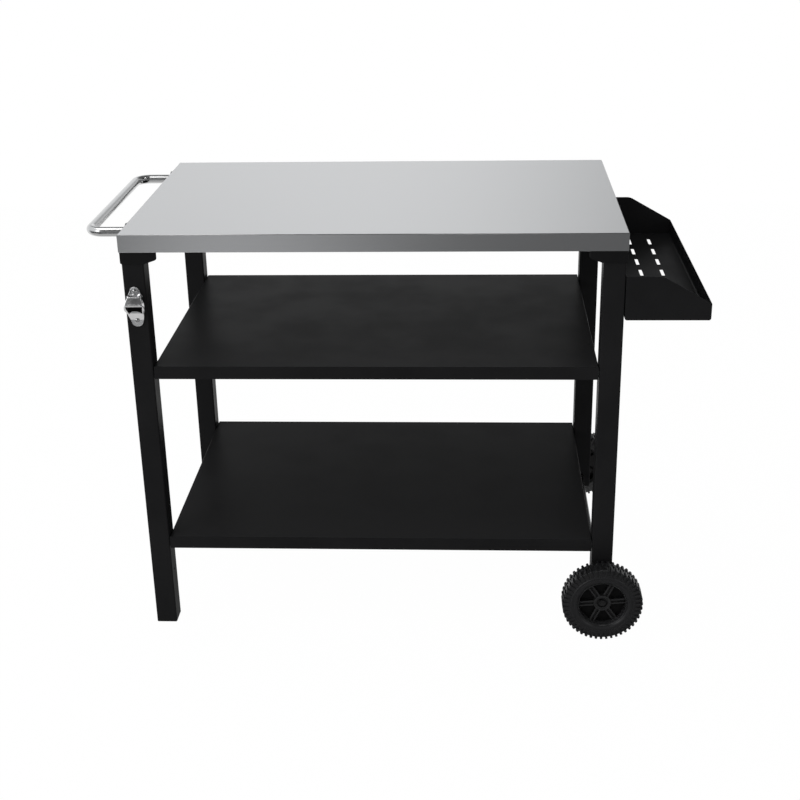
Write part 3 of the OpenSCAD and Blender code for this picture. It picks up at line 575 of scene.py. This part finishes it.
class Cart:
    """What every sub-assembly needs: the frame, the finishes and ways to add its pieces."""

    def __init__(self, frame: dict) -> None:
        """Keeps the frame and builds one material for each slot.

        Args:
            frame: The loaded frame.
        """
        self.frame = frame
        self.materials = {finish.slot: finish.material() for finish in FINISHES}

    def paint(self, piece: bpy.types.Object, slot: Slot) -> None:
        """Puts a slot's finish on all faces of a piece.

        Args:
            piece: The object to dress.
            slot: The finish.
        """
        for held in piece.material_slots:
            held.material = self.materials[slot]
        if not piece.data.materials:
            piece.data.materials.append(self.materials[slot])

    def dress(self, slot: Slot, *names: str) -> None:
        """Puts a finish on CAD nodes that keep their own meshes.

        Args:
            slot: The finish.
            *names: The nodes' names.
        """
        for name in names:
            self.paint(self.frame["nodes"][name], slot)
            LOG.info("dressed %s with %s", name, slot.value)

    def add(self, piece: bpy.types.Object, slot: Slot, body: Body,
            replaced: Sequence[str] = ()) -> None:
        """Dresses a piece, lets it ride on its body and hides the nodes it stands for.

        Args:
            piece: The piece.
            slot: Its finish.
            body: The body that it moves with.
            replaced: CAD nodes that it replaces.
        """
        self.paint(piece, slot)
        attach(piece, body.value)
        if replaced:
            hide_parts(*replaced)
        LOG.info("built %s with %d faces, replacing %s", piece.name, len(piece.data.polygons),
                 ", ".join(replaced) or "no node")

    def soften(self, node: str, slot: Slot, width: float, segments: int = 2,
               body: Body = Body.CART) -> None:
        """Replaces a CAD node with a copy whose sharp edges are rounded.

        Args:
            node: The CAD node.
            slot: The copy's finish.
            width: Width of the rounding.
            segments: Faces across the rounding.
            body: The body that the copy moves with.
        """
        mesh = merged_copy(self.frame["nodes"][node])
        bevel_edges(mesh, sharp_edges(mesh, CREASE_ANGLE), width, segments)
        self.add(finish_object(f"{node}_soft", mesh), slot, body, [node])


@dataclass
class Worktop:
    """The folded stainless worktop, its stiffeners and its nuts."""

    hem_round: float = 0.9 * MM
    hem_segments: int = 3
    hem_level: float = 1.5 * MM
    hem_reach: float = 0.225 * MM
    hem_least: float = 20 * MM
    hem_angle: float = math.radians(60)
    facing: float = 0.71
    fold_least: float = 0.08
    fold_most: float = 0.985

    def build(self, cart: Cart) -> None:
        """Builds the worktop with grained faces and round hems.

        Args:
            cart: The cart to add to.
        """
        low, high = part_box("tabletop")
        mesh = merged_copy(cart.frame["nodes"]["tabletop"], low.z + self.hem_level)
        bevel_edges(mesh, self.hem_edges(mesh, low, high), self.hem_round, self.hem_segments)
        self.add_grain(mesh)
        piece = finish_object("worktop", mesh)
        cart.add(piece, Slot.STAINLESS, Body.CART, ["tabletop"])
        self.polish_folds(piece, cart.materials[Slot.POLISHED])
        cart.dress(Slot.ZINC, "top_stiffener_front", "top_stiffener_back", "top_nuts")

    def hem_edges(self, mesh: BMesh, low: Vector, high: Vector) -> list[BMEdge]:
        """Lists the long sharp edges along the outside of the hem.

        Args:
            mesh: The worktop's mesh.
            low: Least corner of its box.
            high: Greatest corner of its box.

        Returns:
            The edges to round.
        """
        outer = set()
        for vert in mesh.verts:
            gap = min(vert.co.x - low.x, high.x - vert.co.x,
                      vert.co.y - low.y, high.y - vert.co.y)
            if vert.co.z < low.z + self.hem_level and gap < self.hem_reach:
                outer.add(vert)
        return [edge for edge in sharp_edges(mesh, self.hem_angle)
                if outer.issuperset(edge.verts) and edge.calc_length() > self.hem_least]

    def polish_folds(self, piece: bpy.types.Object, gloss: bpy.types.Material) -> None:
        """Gives the folds the gloss that bending leaves on brushed sheet.

        Args:
            piece: The worktop.
            gloss: The folds' finish.
        """
        piece.data.materials.append(gloss)
        for polygon in piece.data.polygons:
            if self.fold_least < polygon.normal.z < self.fold_most:
                polygon.material_index = 1

    def add_grain(self, mesh: BMesh) -> None:
        """Maps each face so that U runs along the sheet's grain, over the folds too.

        Args:
            mesh: The worktop's mesh.
        """
        layer = mesh.loops.layers.uv.new(GRAIN_MAP)
        for face in mesh.faces:
            side = abs(face.normal.x) > self.facing
            front = abs(face.normal.y) > self.facing
            for loop in face.loops:
                x, y, z = loop.vert.co
                loop[layer].uv = (z, y) if side else (x, z) if front else (x, y)


@dataclass
class Handle:
    """The bent push handle and its flanges."""

    bend: float = 30 * MM
    wall: float = 1.2 * MM
    around: int = 64
    bend_steps: int = 32
    arm_steps: int = 6
    smooth_angle: float = math.radians(50)

    def build(self, cart: Cart) -> None:
        """Sweeps the tube anew and dresses the flanges, the plugs and the screws.

        Args:
            cart: The cart to add to.
        """
        low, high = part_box("handle")
        mesh = bmesh.new()
        for inset in (0.0, self.wall):
            self.sweep(mesh, low, high, inset)
        self.close_ends(mesh)
        piece = finish_object("push_handle", mesh, self.smooth_angle)
        cart.add(piece, Slot.POLISHED, Body.CART, ["handle"])
        cart.dress(Slot.POLISHED, "handle_flange_front", "handle_flange_back")
        cart.dress(Slot.ZINC, "handle_plugs", "handle_screws")

    def sweep(self, mesh: BMesh, low: Vector, high: Vector, inset: float) -> None:
        """Sweeps a circle along the front arm, the bar and the back arm.

        Args:
            mesh: The mesh to add to.
            low: Least corner of the handle's box.
            high: Greatest corner of the handle's box.
            inset: Depth of the swept surface under the tube's outside.
        """
        radius = (high.z - low.z) / 2
        level = (low.z + high.z) / 2
        turn_x = low.x + radius + self.bend
        turn_front, turn_back = low.y + radius + self.bend, high.y - radius - self.bend
        start = Matrix.Translation((high.x, low.y + radius, level))
        circle = bmesh.ops.create_circle(
            mesh, cap_ends=False, radius=radius - inset, segments=self.around,
            matrix=start @ Matrix.Rotation(math.pi / 2, 4, "Y"))["verts"]
        ring = self.rim(edge for vert in circle for edge in vert.link_edges)
        arm = (high.x - turn_x) / self.arm_steps
        ring = self.extend(mesh, ring, (-arm, 0.0, 0.0), self.arm_steps)
        ring = self.turn(mesh, ring, (turn_x, turn_front, level))
        ring = self.extend(mesh, ring, (0.0, turn_back - turn_front, 0.0), 1)
        ring = self.turn(mesh, ring, (turn_x, turn_back, level))
        self.extend(mesh, ring, (arm, 0.0, 0.0), self.arm_steps)

    def rim(self, items: Iterable[object]) -> list[BMEdge]:
        """Lists each open edge among the items once."""
        return list({item: None for item in items
                     if isinstance(item, BMEdge) and len(item.link_faces) < 2})

    def extend(self, mesh: BMesh, ring: list[BMEdge], step: Point, times: int) -> list[BMEdge]:
        """Carries the tube on in a straight line.

        Args:
            mesh: The mesh to add to.
            ring: The tube's open end.
            step: Way from one ring to the next.
            times: Number of rings to add.

        Returns:
            The tube's new open end.
        """
        for _ in range(times):
            made = bmesh.ops.extrude_edge_only(mesh, edges=ring)["geom"]
            moved = [item for item in made if isinstance(item, BMVert)]
            bmesh.ops.translate(mesh, verts=moved, vec=step)
            ring = self.rim(made)
        return ring

    def turn(self, mesh: BMesh, ring: list[BMEdge], centre: Point) -> list[BMEdge]:
        """Carries the tube on round a bend of a quarter turn.

        Args:
            mesh: The mesh to add to.
            ring: The tube's open end.
            centre: Centre of the bend.

        Returns:
            The tube's new open end.
        """
        made = bmesh.ops.spin(mesh, geom=ring, cent=centre, axis=(0, 0, 1), dvec=(0, 0, 0),
                              angle=-math.pi / 2, steps=self.bend_steps, use_merge=False,
                              use_duplicate=False)["geom_last"]
        return self.rim(made)

    def close_ends(self, mesh: BMesh) -> None:
        """Joins the outer and the inner surface at both ends and turns all faces outwards.

        Args:
            mesh: The mesh of both surfaces.
        """
        rims = [edge for edge in mesh.edges if edge.is_boundary]
        for side in Side:
            ends = [edge for edge in rims if edge.verts[0].co.y * side.value > 0]
            bmesh.ops.bridge_loops(mesh, edges=ends)
        bmesh.ops.recalc_face_normals(mesh, faces=mesh.faces)


@dataclass
class LegFrame:
    """Four square legs with their sockets, feet and plugs."""

    moulded_round: float = 0.7 * MM
    foot_round: float = 0.3 * MM
    cheek_reach: float = 73.5 * MM
    cheek_foot: float = 48 * MM
    cheek_rise: float = 13.1 * MM
    cheek_corner: float = 6 * MM
    cheek_sweep: Sweep = (-70, 0, 8)
    cheek_wall: float = 2 * MM
    cheek_inset: float = 0.05

    def build(self, cart: Cart) -> None:
        """Dresses the legs and rounds the moulded pieces' edges.

        Args:
            cart: The cart to add to.
        """
        cart.dress(Slot.POWDER, *(f"leg_{corner.label}" for corner in Corner))
        for corner in Corner:
            cart.soften(f"socket_{corner.label}", Slot.PLASTIC, self.moulded_round)
            self.add_cheek(cart, corner)
        for name in ("foot_front_left", "foot_back_left", "plug_front_right", "plug_back_right"):
            cart.soften(name, Slot.PLASTIC, self.foot_round)
        cart.dress(Slot.ZINC, "socket_screws")

    def add_cheek(self, cart: Cart, corner: Corner) -> None:
        """Adds the flat cheek that carries a socket's outer side on under the worktop.

        Args:
            cart: The cart to add to.
            corner: The socket's corner.
        """
        low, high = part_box(f"socket_{corner.label}")
        right, back = corner.value
        outer = high.x if right > 0 else low.x
        step = -back * self.cheek_wall
        face = (high.y if back > 0 else low.y) + step * self.cheek_inset
        top = high.z - self.cheek_wall
        turn = (self.cheek_reach - self.cheek_corner, low.z + self.cheek_rise)
        profile = [
            (self.cheek_foot, top), (self.cheek_foot, low.z),
            *arc_points(turn, self.cheek_corner, self.cheek_sweep),
            (self.cheek_reach, top),
        ]
        mesh = extrude_outline([(outer - right * x, face, z) for x, z in profile],
                               (0.0, step, 0.0))
        bmesh.ops.recalc_face_normals(mesh, faces=mesh.faces)
        bevel_edges(mesh, sharp_edges(mesh, CREASE_ANGLE), self.foot_round)
        cart.add(finish_object(f"cheek_{corner.label}", mesh), Slot.PLASTIC, Body.CART)


@dataclass
class Shelves:
    """The two folded shelves, their stiffeners, screws and rivet nuts."""

    edge_round: float = 0.4 * MM

    def build(self, cart: Cart) -> None:
        """Rounds the shelves' edges and dresses what lies under them.

        Args:
            cart: The cart to add to.
        """
        for level in ("middle", "bottom"):
            cart.soften(f"{level}_shelf", Slot.POWDER, self.edge_round)
            cart.dress(Slot.POWDER, f"{level}_shelf_stiffener")
            cart.dress(Slot.ZINC, f"{level}_shelf_screws")
        cart.dress(Slot.ZINC, "shelf_inserts")


@dataclass
class SideTray:
    """The slotted side tray and its screws."""

    edge_round: float = 0.4 * MM

    def build(self, cart: Cart) -> None:
        """Rounds the tray's edges and dresses its screws.

        Args:
            cart: The cart to add to.
        """
        cart.soften("side_tray", Slot.POWDER, self.edge_round)
        cart.dress(Slot.ZINC, "tray_screws", "tray_inserts")


@dataclass
class BottleOpener:
    """The cast bottle opener and its two screws."""

    voxel: float = 0.45 * MM
    passes: int = 5
    smoothing: float = 0.5
    margin: float = 1 * MM
    facing_up: float = 0.3
    facing_front: float = 0.5
    plate: float = 3 * MM
    ledge: float = 15.5 * MM
    ledge_rise: float = 5.5 * MM
    nose: float = 24 * MM
    hood_low: float = 53 * MM
    hood_top: float = 67 * MM
    full_half: float = 21.3 * MM
    neck_half: float = 12.3 * MM
    lobe_level: float = 73.5 * MM
    lobe_radius: float = 10 * MM
    lobe_flare: float = 0.55
    lobe_rim: float = 1.9 * MM
    lobe_step: float = 0.6 * MM
    lobe_sink: float = 0.9 * MM

    def build(self, cart: Cart) -> None:
        """Turns the opener's copy into a casting with soft edges.

        Args:
            cart: The cart to add to.
        """
        mesh = merged_copy(cart.frame["nodes"]["bottle_opener"])
        bmesh.ops.triangulate(mesh, faces=mesh.faces)
        piece = finish_object("cast_opener", mesh)
        piece.modifiers.clear()
        remesh = piece.modifiers.new("casting", "REMESH")
        remesh.mode = "VOXEL"
        remesh.voxel_size = self.voxel
        bpy.context.view_layer.update()
        dense = piece.evaluated_get(bpy.context.evaluated_depsgraph_get())
        shaped = bpy.data.meshes.new_from_object(dense)
        piece.modifiers.clear()
        soft = bmesh.new()
        soft.from_mesh(shaped)
        self.shape(soft, *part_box("bottle_opener"))
        for _ in range(self.passes):
            bmesh.ops.smooth_vert(soft, verts=soft.verts, factor=self.smoothing,
                                  use_axis_x=True, use_axis_y=True, use_axis_z=True)
        soft.to_mesh(piece.data)
        soft.free()
        piece.data.shade_smooth()
        cart.add(piece, Slot.CHROME, Body.CART, ["bottle_opener"])
        cart.dress(Slot.POLISHED, "opener_screws")

    def shape(self, mesh: BMesh, low: Vector, high: Vector) -> None:
        """Raises the hood's ledge, draws its sides in and sinks the upper lobe's face.

        Args:
            mesh: The dense mesh.
            low: Least corner of the opener's box.
            high: Greatest corner of the opener's box.
        """
        middle = (low.x + high.x) / 2
        for vert in mesh.verts:
            across, depth, level = vert.co.x - middle, high.y - vert.co.y, vert.co.z - low.z
            if (depth > self.plate + self.margin
                    and self.hood_low < level < self.hood_top + self.margin):
                share = clamp((level - self.hood_low) / (self.hood_top - self.hood_low))
                half = self.full_half + (self.neck_half - self.full_half) * share
                vert.co.x = middle + clamp(across, -half, half)
                if vert.normal.z > self.facing_up:
                    rising = min((depth - self.plate) / (self.ledge - self.plate),
                                 (self.nose - depth) / (self.nose - self.ledge))
                    vert.co.z += self.ledge_rise * max(rising, 0)
            elif (level > self.hood_top and vert.normal.y < -self.facing_front
                    and depth > self.plate / 2):
                inside = self.lobe_inside(across, level)
                vert.co.y += self.lobe_sink * clamp((inside - self.lobe_rim) / self.lobe_step)

    def lobe_inside(self, across: float, level: float) -> float:
        """Measures how far a point lies inside the upper lobe's edge.

        Args:
            across: The point's distance from the middle.
            level: Its height above the opener's lower end.

        Returns:
            The distance, below zero outside the edge.
        """
        if level > self.lobe_level:
            return self.lobe_radius - math.hypot(across, level - self.lobe_level)
        return self.lobe_radius + self.lobe_flare * (self.lobe_level - level) - abs(across)


@dataclass
class Tyre:
    """A tyre about its own axis Z: a carcass with a ridged sidewall and two rows of lugs."""

    radius: float = 85 * MM
    half_width: float = 22 * MM
    seat: float = 52.1 * MM
    bead_inset: float = 3.5 * MM
    swell: float = 8 * MM
    swell_sweep: Sweep = (145, 92, 8)
    # Inward from the ridge and deep in the side: a fine groove and the rise to the ridge.
    sidewall: Steps = ((5.2, 0.1), (4.8, 0.6), (4.2, 0.6), (3.8, 0.1), (1.4, 0.25))
    ridge: float = 67 * MM
    ridge_inset: float = 0.2 * MM
    ridge_round: float = 0.5 * MM
    ridge_sweep: Sweep = (120, 10, 5)
    shoulder: float = 1.6 * MM
    crown: float = 82 * MM
    crown_half: float = 15 * MM
    # Down from the crown and out from its half width.
    crown_edge: Steps = ((1.2, 2.2), (0.3, 0.8), (0.0, -1.0))
    groove: float = 0.8 * MM
    lug_count: int = 47
    lug_width: float = 5.8 * MM
    lug_taper: float = 0.84
    lug_root: float = 1.6 * MM
    root_inset: float = 2.6 * MM
    flank_rise: float = 1.2 * MM
    flank_inset: float = 0.6 * MM
    lug_bevel: float = 2 * MM
    lug_round: float = 1.2 * MM
    lug_angle: float = math.radians(12)
    steps: int = 188
    weld_gap: float = 0.002 * MM

    def carcass_half(self) -> Profile:
        """Lists the carcass's half section from the bead to the crown.

        Returns:
            Its points as radius and distance from the middle plane.
        """
        side = self.half_width
        swell_centre = (self.ridge - self.swell, side - self.swell)
        ridge_centre = (self.ridge - self.ridge_inset, side - self.ridge_round)
        return [
            (self.seat, side - self.bead_inset),
            *arc_points(swell_centre, self.swell, self.swell_sweep),
            *((self.ridge - inward * MM, side - deep * MM) for inward, deep in self.sidewall),
            *arc_points(ridge_centre, self.ridge_round, self.ridge_sweep),
            (self.ridge + self.shoulder, side - self.shoulder),
            *((self.crown - down * MM, self.crown_half + out * MM)
              for down, out in self.crown_edge),
        ]

    def carcass(self, mesh: BMesh) -> None:
        """Spins the closed section into the carcass.

        Args:
            mesh: The mesh to add to.
        """
        half = self.carcass_half()
        section = half + [(r, -z) for r, z in reversed(half)]
        verts = [mesh.verts.new((r, 0.0, z)) for r, z in section]
        edges = [mesh.edges.new((a, b)) for a, b in zip(verts, verts[1:] + verts[:1])]
        bmesh.ops.spin(mesh, geom=verts + edges, cent=(0, 0, 0), axis=(0, 0, 1), dvec=(0, 0, 0),
                       angle=2 * math.pi, steps=self.steps, use_merge=True, use_duplicate=False)

    def lug(self) -> BMesh:
        """Builds one lug of the outer row, pointing along X.

        Returns:
            The lug's mesh.
        """
        root = self.ridge - self.lug_root
        flank = self.half_width - self.flank_inset
        section = [
            (root, self.groove), (root, self.half_width - self.root_inset),
            (self.ridge + self.flank_rise, flank), (self.radius - self.lug_bevel, flank),
            (self.radius, flank - self.lug_bevel), (self.radius, self.groove),
        ]
        mesh = extrude_outline([(r, -self.lug_width / 2, z) for r, z in section],
                               (0.0, self.lug_width, 0.0))
        for vert in mesh.verts:
            if vert.co.x > self.crown:
                vert.co.y *= self.lug_taper
        bmesh.ops.recalc_face_normals(mesh, faces=mesh.faces)
        bevel_edges(mesh, sharp_edges(mesh, self.lug_angle), self.lug_round)
        return mesh

    def rows(self, mesh: BMesh) -> None:
        """Sets both rows of lugs around the carcass, staggered by half a pitch.

        Args:
            mesh: The mesh to add to.
        """
        lug = self.lug()
        pattern = bpy.data.meshes.new("lug_pattern")
        lug.to_mesh(pattern)
        lug.free()
        pitch = 2 * math.pi / self.lug_count
        for row in (0, 1):
            for index in range(self.lug_count):
                before = len(mesh.verts)
                mesh.from_mesh(pattern)
                mesh.verts.ensure_lookup_table()
                added = mesh.verts[before:]
                if row:
                    bmesh.ops.scale(mesh, vec=(1, 1, -1), verts=added)
                    faces = list({face for vert in added for face in vert.link_faces})
                    bmesh.ops.reverse_faces(mesh, faces=faces)
                turn = Matrix.Rotation(-math.pi / 2 + (index + row / 2) * pitch, 3, "Z")
                bmesh.ops.rotate(mesh, cent=(0, 0, 0), matrix=turn, verts=added)
        bpy.data.meshes.remove(pattern)

    def build(self) -> BMesh:
        """Builds the whole tyre.

        Returns:
            The tyre's mesh about its own axis.
        """
        mesh = bmesh.new()
        self.carcass(mesh)
        bmesh.ops.remove_doubles(mesh, verts=mesh.verts, dist=self.weld_gap)
        bmesh.ops.recalc_face_normals(mesh, faces=mesh.faces)
        self.rows(mesh)
        return mesh


@dataclass
class Wheels:
    """Both wheels with the axle, its washers and its nuts."""

    hub_round: float = 0.5 * MM
    hub_segments: int = 3

    def build(self, cart: Cart) -> None:
        """Builds both tyres and hubs and dresses the axle.

        Args:
            cart: The cart to add to.
        """
        for side, body in ((Side.FRONT, Body.FRONT_WHEEL), (Side.BACK, Body.BACK_WHEEL)):
            self.add_tyre(cart, side, body)
            cart.soften(f"{side.label}_hub", Slot.WHEEL, self.hub_round, self.hub_segments, body)
        cart.dress(Slot.DARK, "axle", "axle_washers", "axle_nuts")

    def add_tyre(self, cart: Cart, side: Side, body: Body) -> None:
        """Builds one tyre where its CAD node lies.

        Args:
            cart: The cart to add to.
            side: The wheel's side.
            body: The body that it turns with.
        """
        low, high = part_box(f"{side.label}_tyre")
        mesh = Tyre().build()
        stand = Matrix.Rotation(math.pi / 2, 4, "X")
        if side is Side.BACK:
            stand = Matrix.Scale(-1, 4, (0, 1, 0)) @ stand
        place = Matrix.Translation((low + high) / 2) @ stand
        bmesh.ops.transform(mesh, matrix=place, verts=mesh.verts)
        if side is Side.BACK:
            bmesh.ops.reverse_faces(mesh, faces=mesh.faces)
        piece = finish_object(f"{side.label}_tyre_lugged", mesh)
        cart.add(piece, Slot.RUBBER, body, [f"{side.label}_tyre"])


@dataclass(frozen=True)
class Softbox:
    """A rectangular lamp that points at a spot."""

    name: str
    place: Point
    target: Point
    size: tuple[float, float]
    power: float

    def build(self) -> None:
        """Adds the lamp."""
        light = bpy.data.lights.new(self.name, "AREA")
        light.shape = "RECTANGLE"
        light.size, light.size_y = self.size
        light.energy = self.power
        lamp = bpy.data.objects.new(self.name, light)
        lamp.location = self.place
        aim = Vector(self.target) - Vector(self.place)
        lamp.rotation_euler = aim.to_track_quat("-Z", "Y").to_euler()
        bpy.context.scene.collection.objects.link(lamp)


@dataclass
class Studio:
    """The pale floor, the graded surroundings and the lamps."""

    floor_half: float = 2.4
    floor_shift: float = 0.9
    floor_drop: float = 0.2 * MM
    floor_colour: Rgb = (0.9, 0.9, 0.9)
    shadow_share: float = 0.01
    # What metal mirrors of the floor, by the floor's X and Y.
    floor_right: Grade = Grade(-0.6, 0.5, 0.62, 0.12)
    floor_back: Grade = Grade(-0.45, 0.3, 0.0, 1.0)
    # What lights matt surfaces, from the left to the right.
    plain: Grade = Grade(-0.7, 0.7, 1.35, 0.22)
    # What metal mirrors of the surroundings, by a direction's X, Y or Z.
    air_colour: Rgb = (0.97, 0.985, 1.0)
    left: Grade = Grade(-0.3, -0.08, 0.77, 1.0)
    right: Grade = Grade(-0.07, 0.22, 1.0, 0.39)
    front: Grade = Grade(-0.08, 0.06, 0.03, 0.28)
    back: Grade = Grade(-0.2, 0.35, 0.0, 1.0)
    height: Grade = Grade(0.15, 0.66, 1.34, 0.3)
    # A bright wall on the far left.
    wall: Grade = Grade(-0.6, -0.33, 0.9, 0.0)
    wall_height: Grade = Grade(-0.1, 0.2, 0.0, 1.0)
    # A band under the horizon.
    low: Grade = Grade(-0.2, -0.03, 1.0, 0.0)
    low_left: Grade = Grade(-0.268, -0.215, 0.0, 1.0)
    low_right: Grade = Grade(-0.225, -0.01, 0.68, 0.12)
    # The white backdrop.
    backdrop: Grade = Grade(0.3, 0.8, 0.0, 1.0)
    backdrop_height: Grade = Grade(0.12, 0.4, 1.0, 0.0)
    lamps: tuple[Softbox, ...] = (
        Softbox("overhead_left", place=(-1.35, -0.45, 2.6), target=(-1.35, -0.45, 0.0),
                size=(0.8, 1.5), power=9.5),
        Softbox("overhead_right", place=(0.65, -0.65, 2.6), target=(0.65, -0.65, 0.0),
                size=(0.8, 0.6), power=5.5),
        Softbox("front_left", place=(-2.4, -2.2, 2.1), target=(0.0, 0.0, 0.5),
                size=(1.2, 1.6), power=9.0),
        Softbox("front_right", place=(2.4, -2.4, 1.0), target=(0.2, 0.0, 0.4),
                size=(0.9, 1.2), power=6.0),
    )

    def build(self) -> None:
        """Builds the floor, the world and the lamps."""
        self.add_floor()
        self.add_world()
        for lamp in self.lamps:
            lamp.build()

    def add_floor(self) -> None:
        """Adds the floor."""
        mesh = bmesh.new()
        bmesh.ops.create_grid(mesh, x_segments=1, y_segments=1, size=self.floor_half)
        bmesh.ops.translate(mesh, verts=mesh.verts, vec=(0.0, self.floor_shift, -self.floor_drop))
        data = bpy.data.meshes.new("floor")
        mesh.to_mesh(data)
        mesh.free()
        floor = bpy.data.objects.new("floor", data)
        bpy.context.scene.collection.objects.link(floor)
        data.materials.append(self.floor_material())

    def floor_material(self) -> bpy.types.Material:
        """Builds a floor that the camera sees as white with a faint shadow, and metal as graded.

        Returns:
            The new material.
        """
        material = bpy.data.materials.new("pale_floor")
        material.use_nodes = True
        board = NodeBoard(material.node_tree)
        output = board.add("ShaderNodeOutputMaterial")
        colour = {"Color": (*self.floor_colour, 1.0)}
        matte = board.add("ShaderNodeBsdfDiffuse", colour).outputs[0]
        shown = board.blend(self.shadow_share, board.glow("ShaderNodeEmission"), matte)
        right, back, _ = board.axes("Object")
        level = board.fold("MAXIMUM", board.spread(right, self.floor_right),
                           board.spread(back, self.floor_back))
        graded = board.glow("ShaderNodeEmission", strength=level)
        camera, mirrored = board.seen_rays()
        surface = board.blend(camera, board.blend(mirrored, matte, graded), shown)
        board.join(surface, output.inputs["Surface"])
        return material

    def add_world(self) -> None:
        """Lights all colours plainly, and shows the camera white and metal the surroundings."""
        world = bpy.data.worlds.new("studio")
        world.use_nodes = True
        world.cycles.sampling_method = "NONE"
        bpy.context.scene.world = world
        board = NodeBoard(world.node_tree)
        output = board.add("ShaderNodeOutputWorld")
        right, back, up = board.axes("Generated")
        sides = board.fold("MULTIPLY", board.spread(right, self.left),
                           board.spread(right, self.right))
        camera, mirrored = board.seen_rays()
        backdrop = board.fold("MULTIPLY", mirrored, board.spread(back, self.backdrop),
                              board.spread(up, self.backdrop_height), sides)
        level = self.mirrored_level(board, (right, back, up), sides)
        around = board.glow("ShaderNodeBackground", self.air_colour, level)
        plain = board.glow("ShaderNodeBackground", strength=board.spread(right, self.plain))
        matt = board.add("ShaderNodeLightPath").outputs["Is Diffuse Ray"]
        surface = board.blend(board.fold("MAXIMUM", camera, backdrop),
                              board.blend(matt, around, plain),
                              board.glow("ShaderNodeBackground"))
        board.join(surface, output.inputs["Surface"])

    def mirrored_level(self, board: NodeBoard, way: Sequence[Socket], sides: Socket) -> Socket:
        """Grades the surroundings that metal mirrors: bright behind and dim in front.

        Args:
            board: The world's node tree.
            way: How far a direction points to the right, back and up.
            sides: Level of the left and right parts.

        Returns:
            The strength's socket.
        """
        right, back, up = way
        behind = board.fold("MAXIMUM", board.spread(back, self.back), board.spread(up, self.front))
        above = board.fold("MULTIPLY", behind, board.spread(up, self.height), sides)
        wall = board.fold("MULTIPLY", board.spread(right, self.wall),
                          board.spread(up, self.wall_height))
        below = board.fold("MULTIPLY", board.spread(up, self.low),
                           board.spread(right, self.low_left), board.spread(right, self.low_right))
        return board.fold("MAXIMUM", above, wall, below)


@dataclass(frozen=True)
class ViewCamera:
    """The camera at the photographed viewing angle."""

    place: Point = (0.15988, -2.86709, 1.60713)
    yaw: float = math.radians(3.30)
    pitch: float = math.radians(22.75)
    roll: float = math.radians(-1.13)
    lens: float = 61.22
    sensor: float = 36.0

    def build(self) -> None:
        """Adds the camera and makes it the scene's own."""
        data = bpy.data.cameras.new("view")
        data.lens = self.lens
        data.sensor_width = self.sensor
        camera = bpy.data.objects.new("view", data)
        turn = (Matrix.Rotation(self.yaw, 4, "Z")
                @ Matrix.Rotation(math.pi / 2 - self.pitch, 4, "X")
                @ Matrix.Rotation(self.roll, 4, "Z"))
        camera.matrix_world = Matrix.Translation(self.place) @ turn
        bpy.context.scene.collection.objects.link(camera)
        bpy.context.scene.camera = camera


def main() -> None:
    """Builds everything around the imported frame."""
    logging.basicConfig(level=logging.INFO, format="%(message)s")
    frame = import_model()
    bpy.context.scene.view_settings.view_transform = "Standard"
    ViewCamera().build()
    Studio().build()
    cart = Cart(frame)
    for part in (Worktop(), Handle(), LegFrame(), Shelves(), SideTray(), BottleOpener(), Wheels()):
        part.build(cart)


if __name__ == "__main__":
    main()
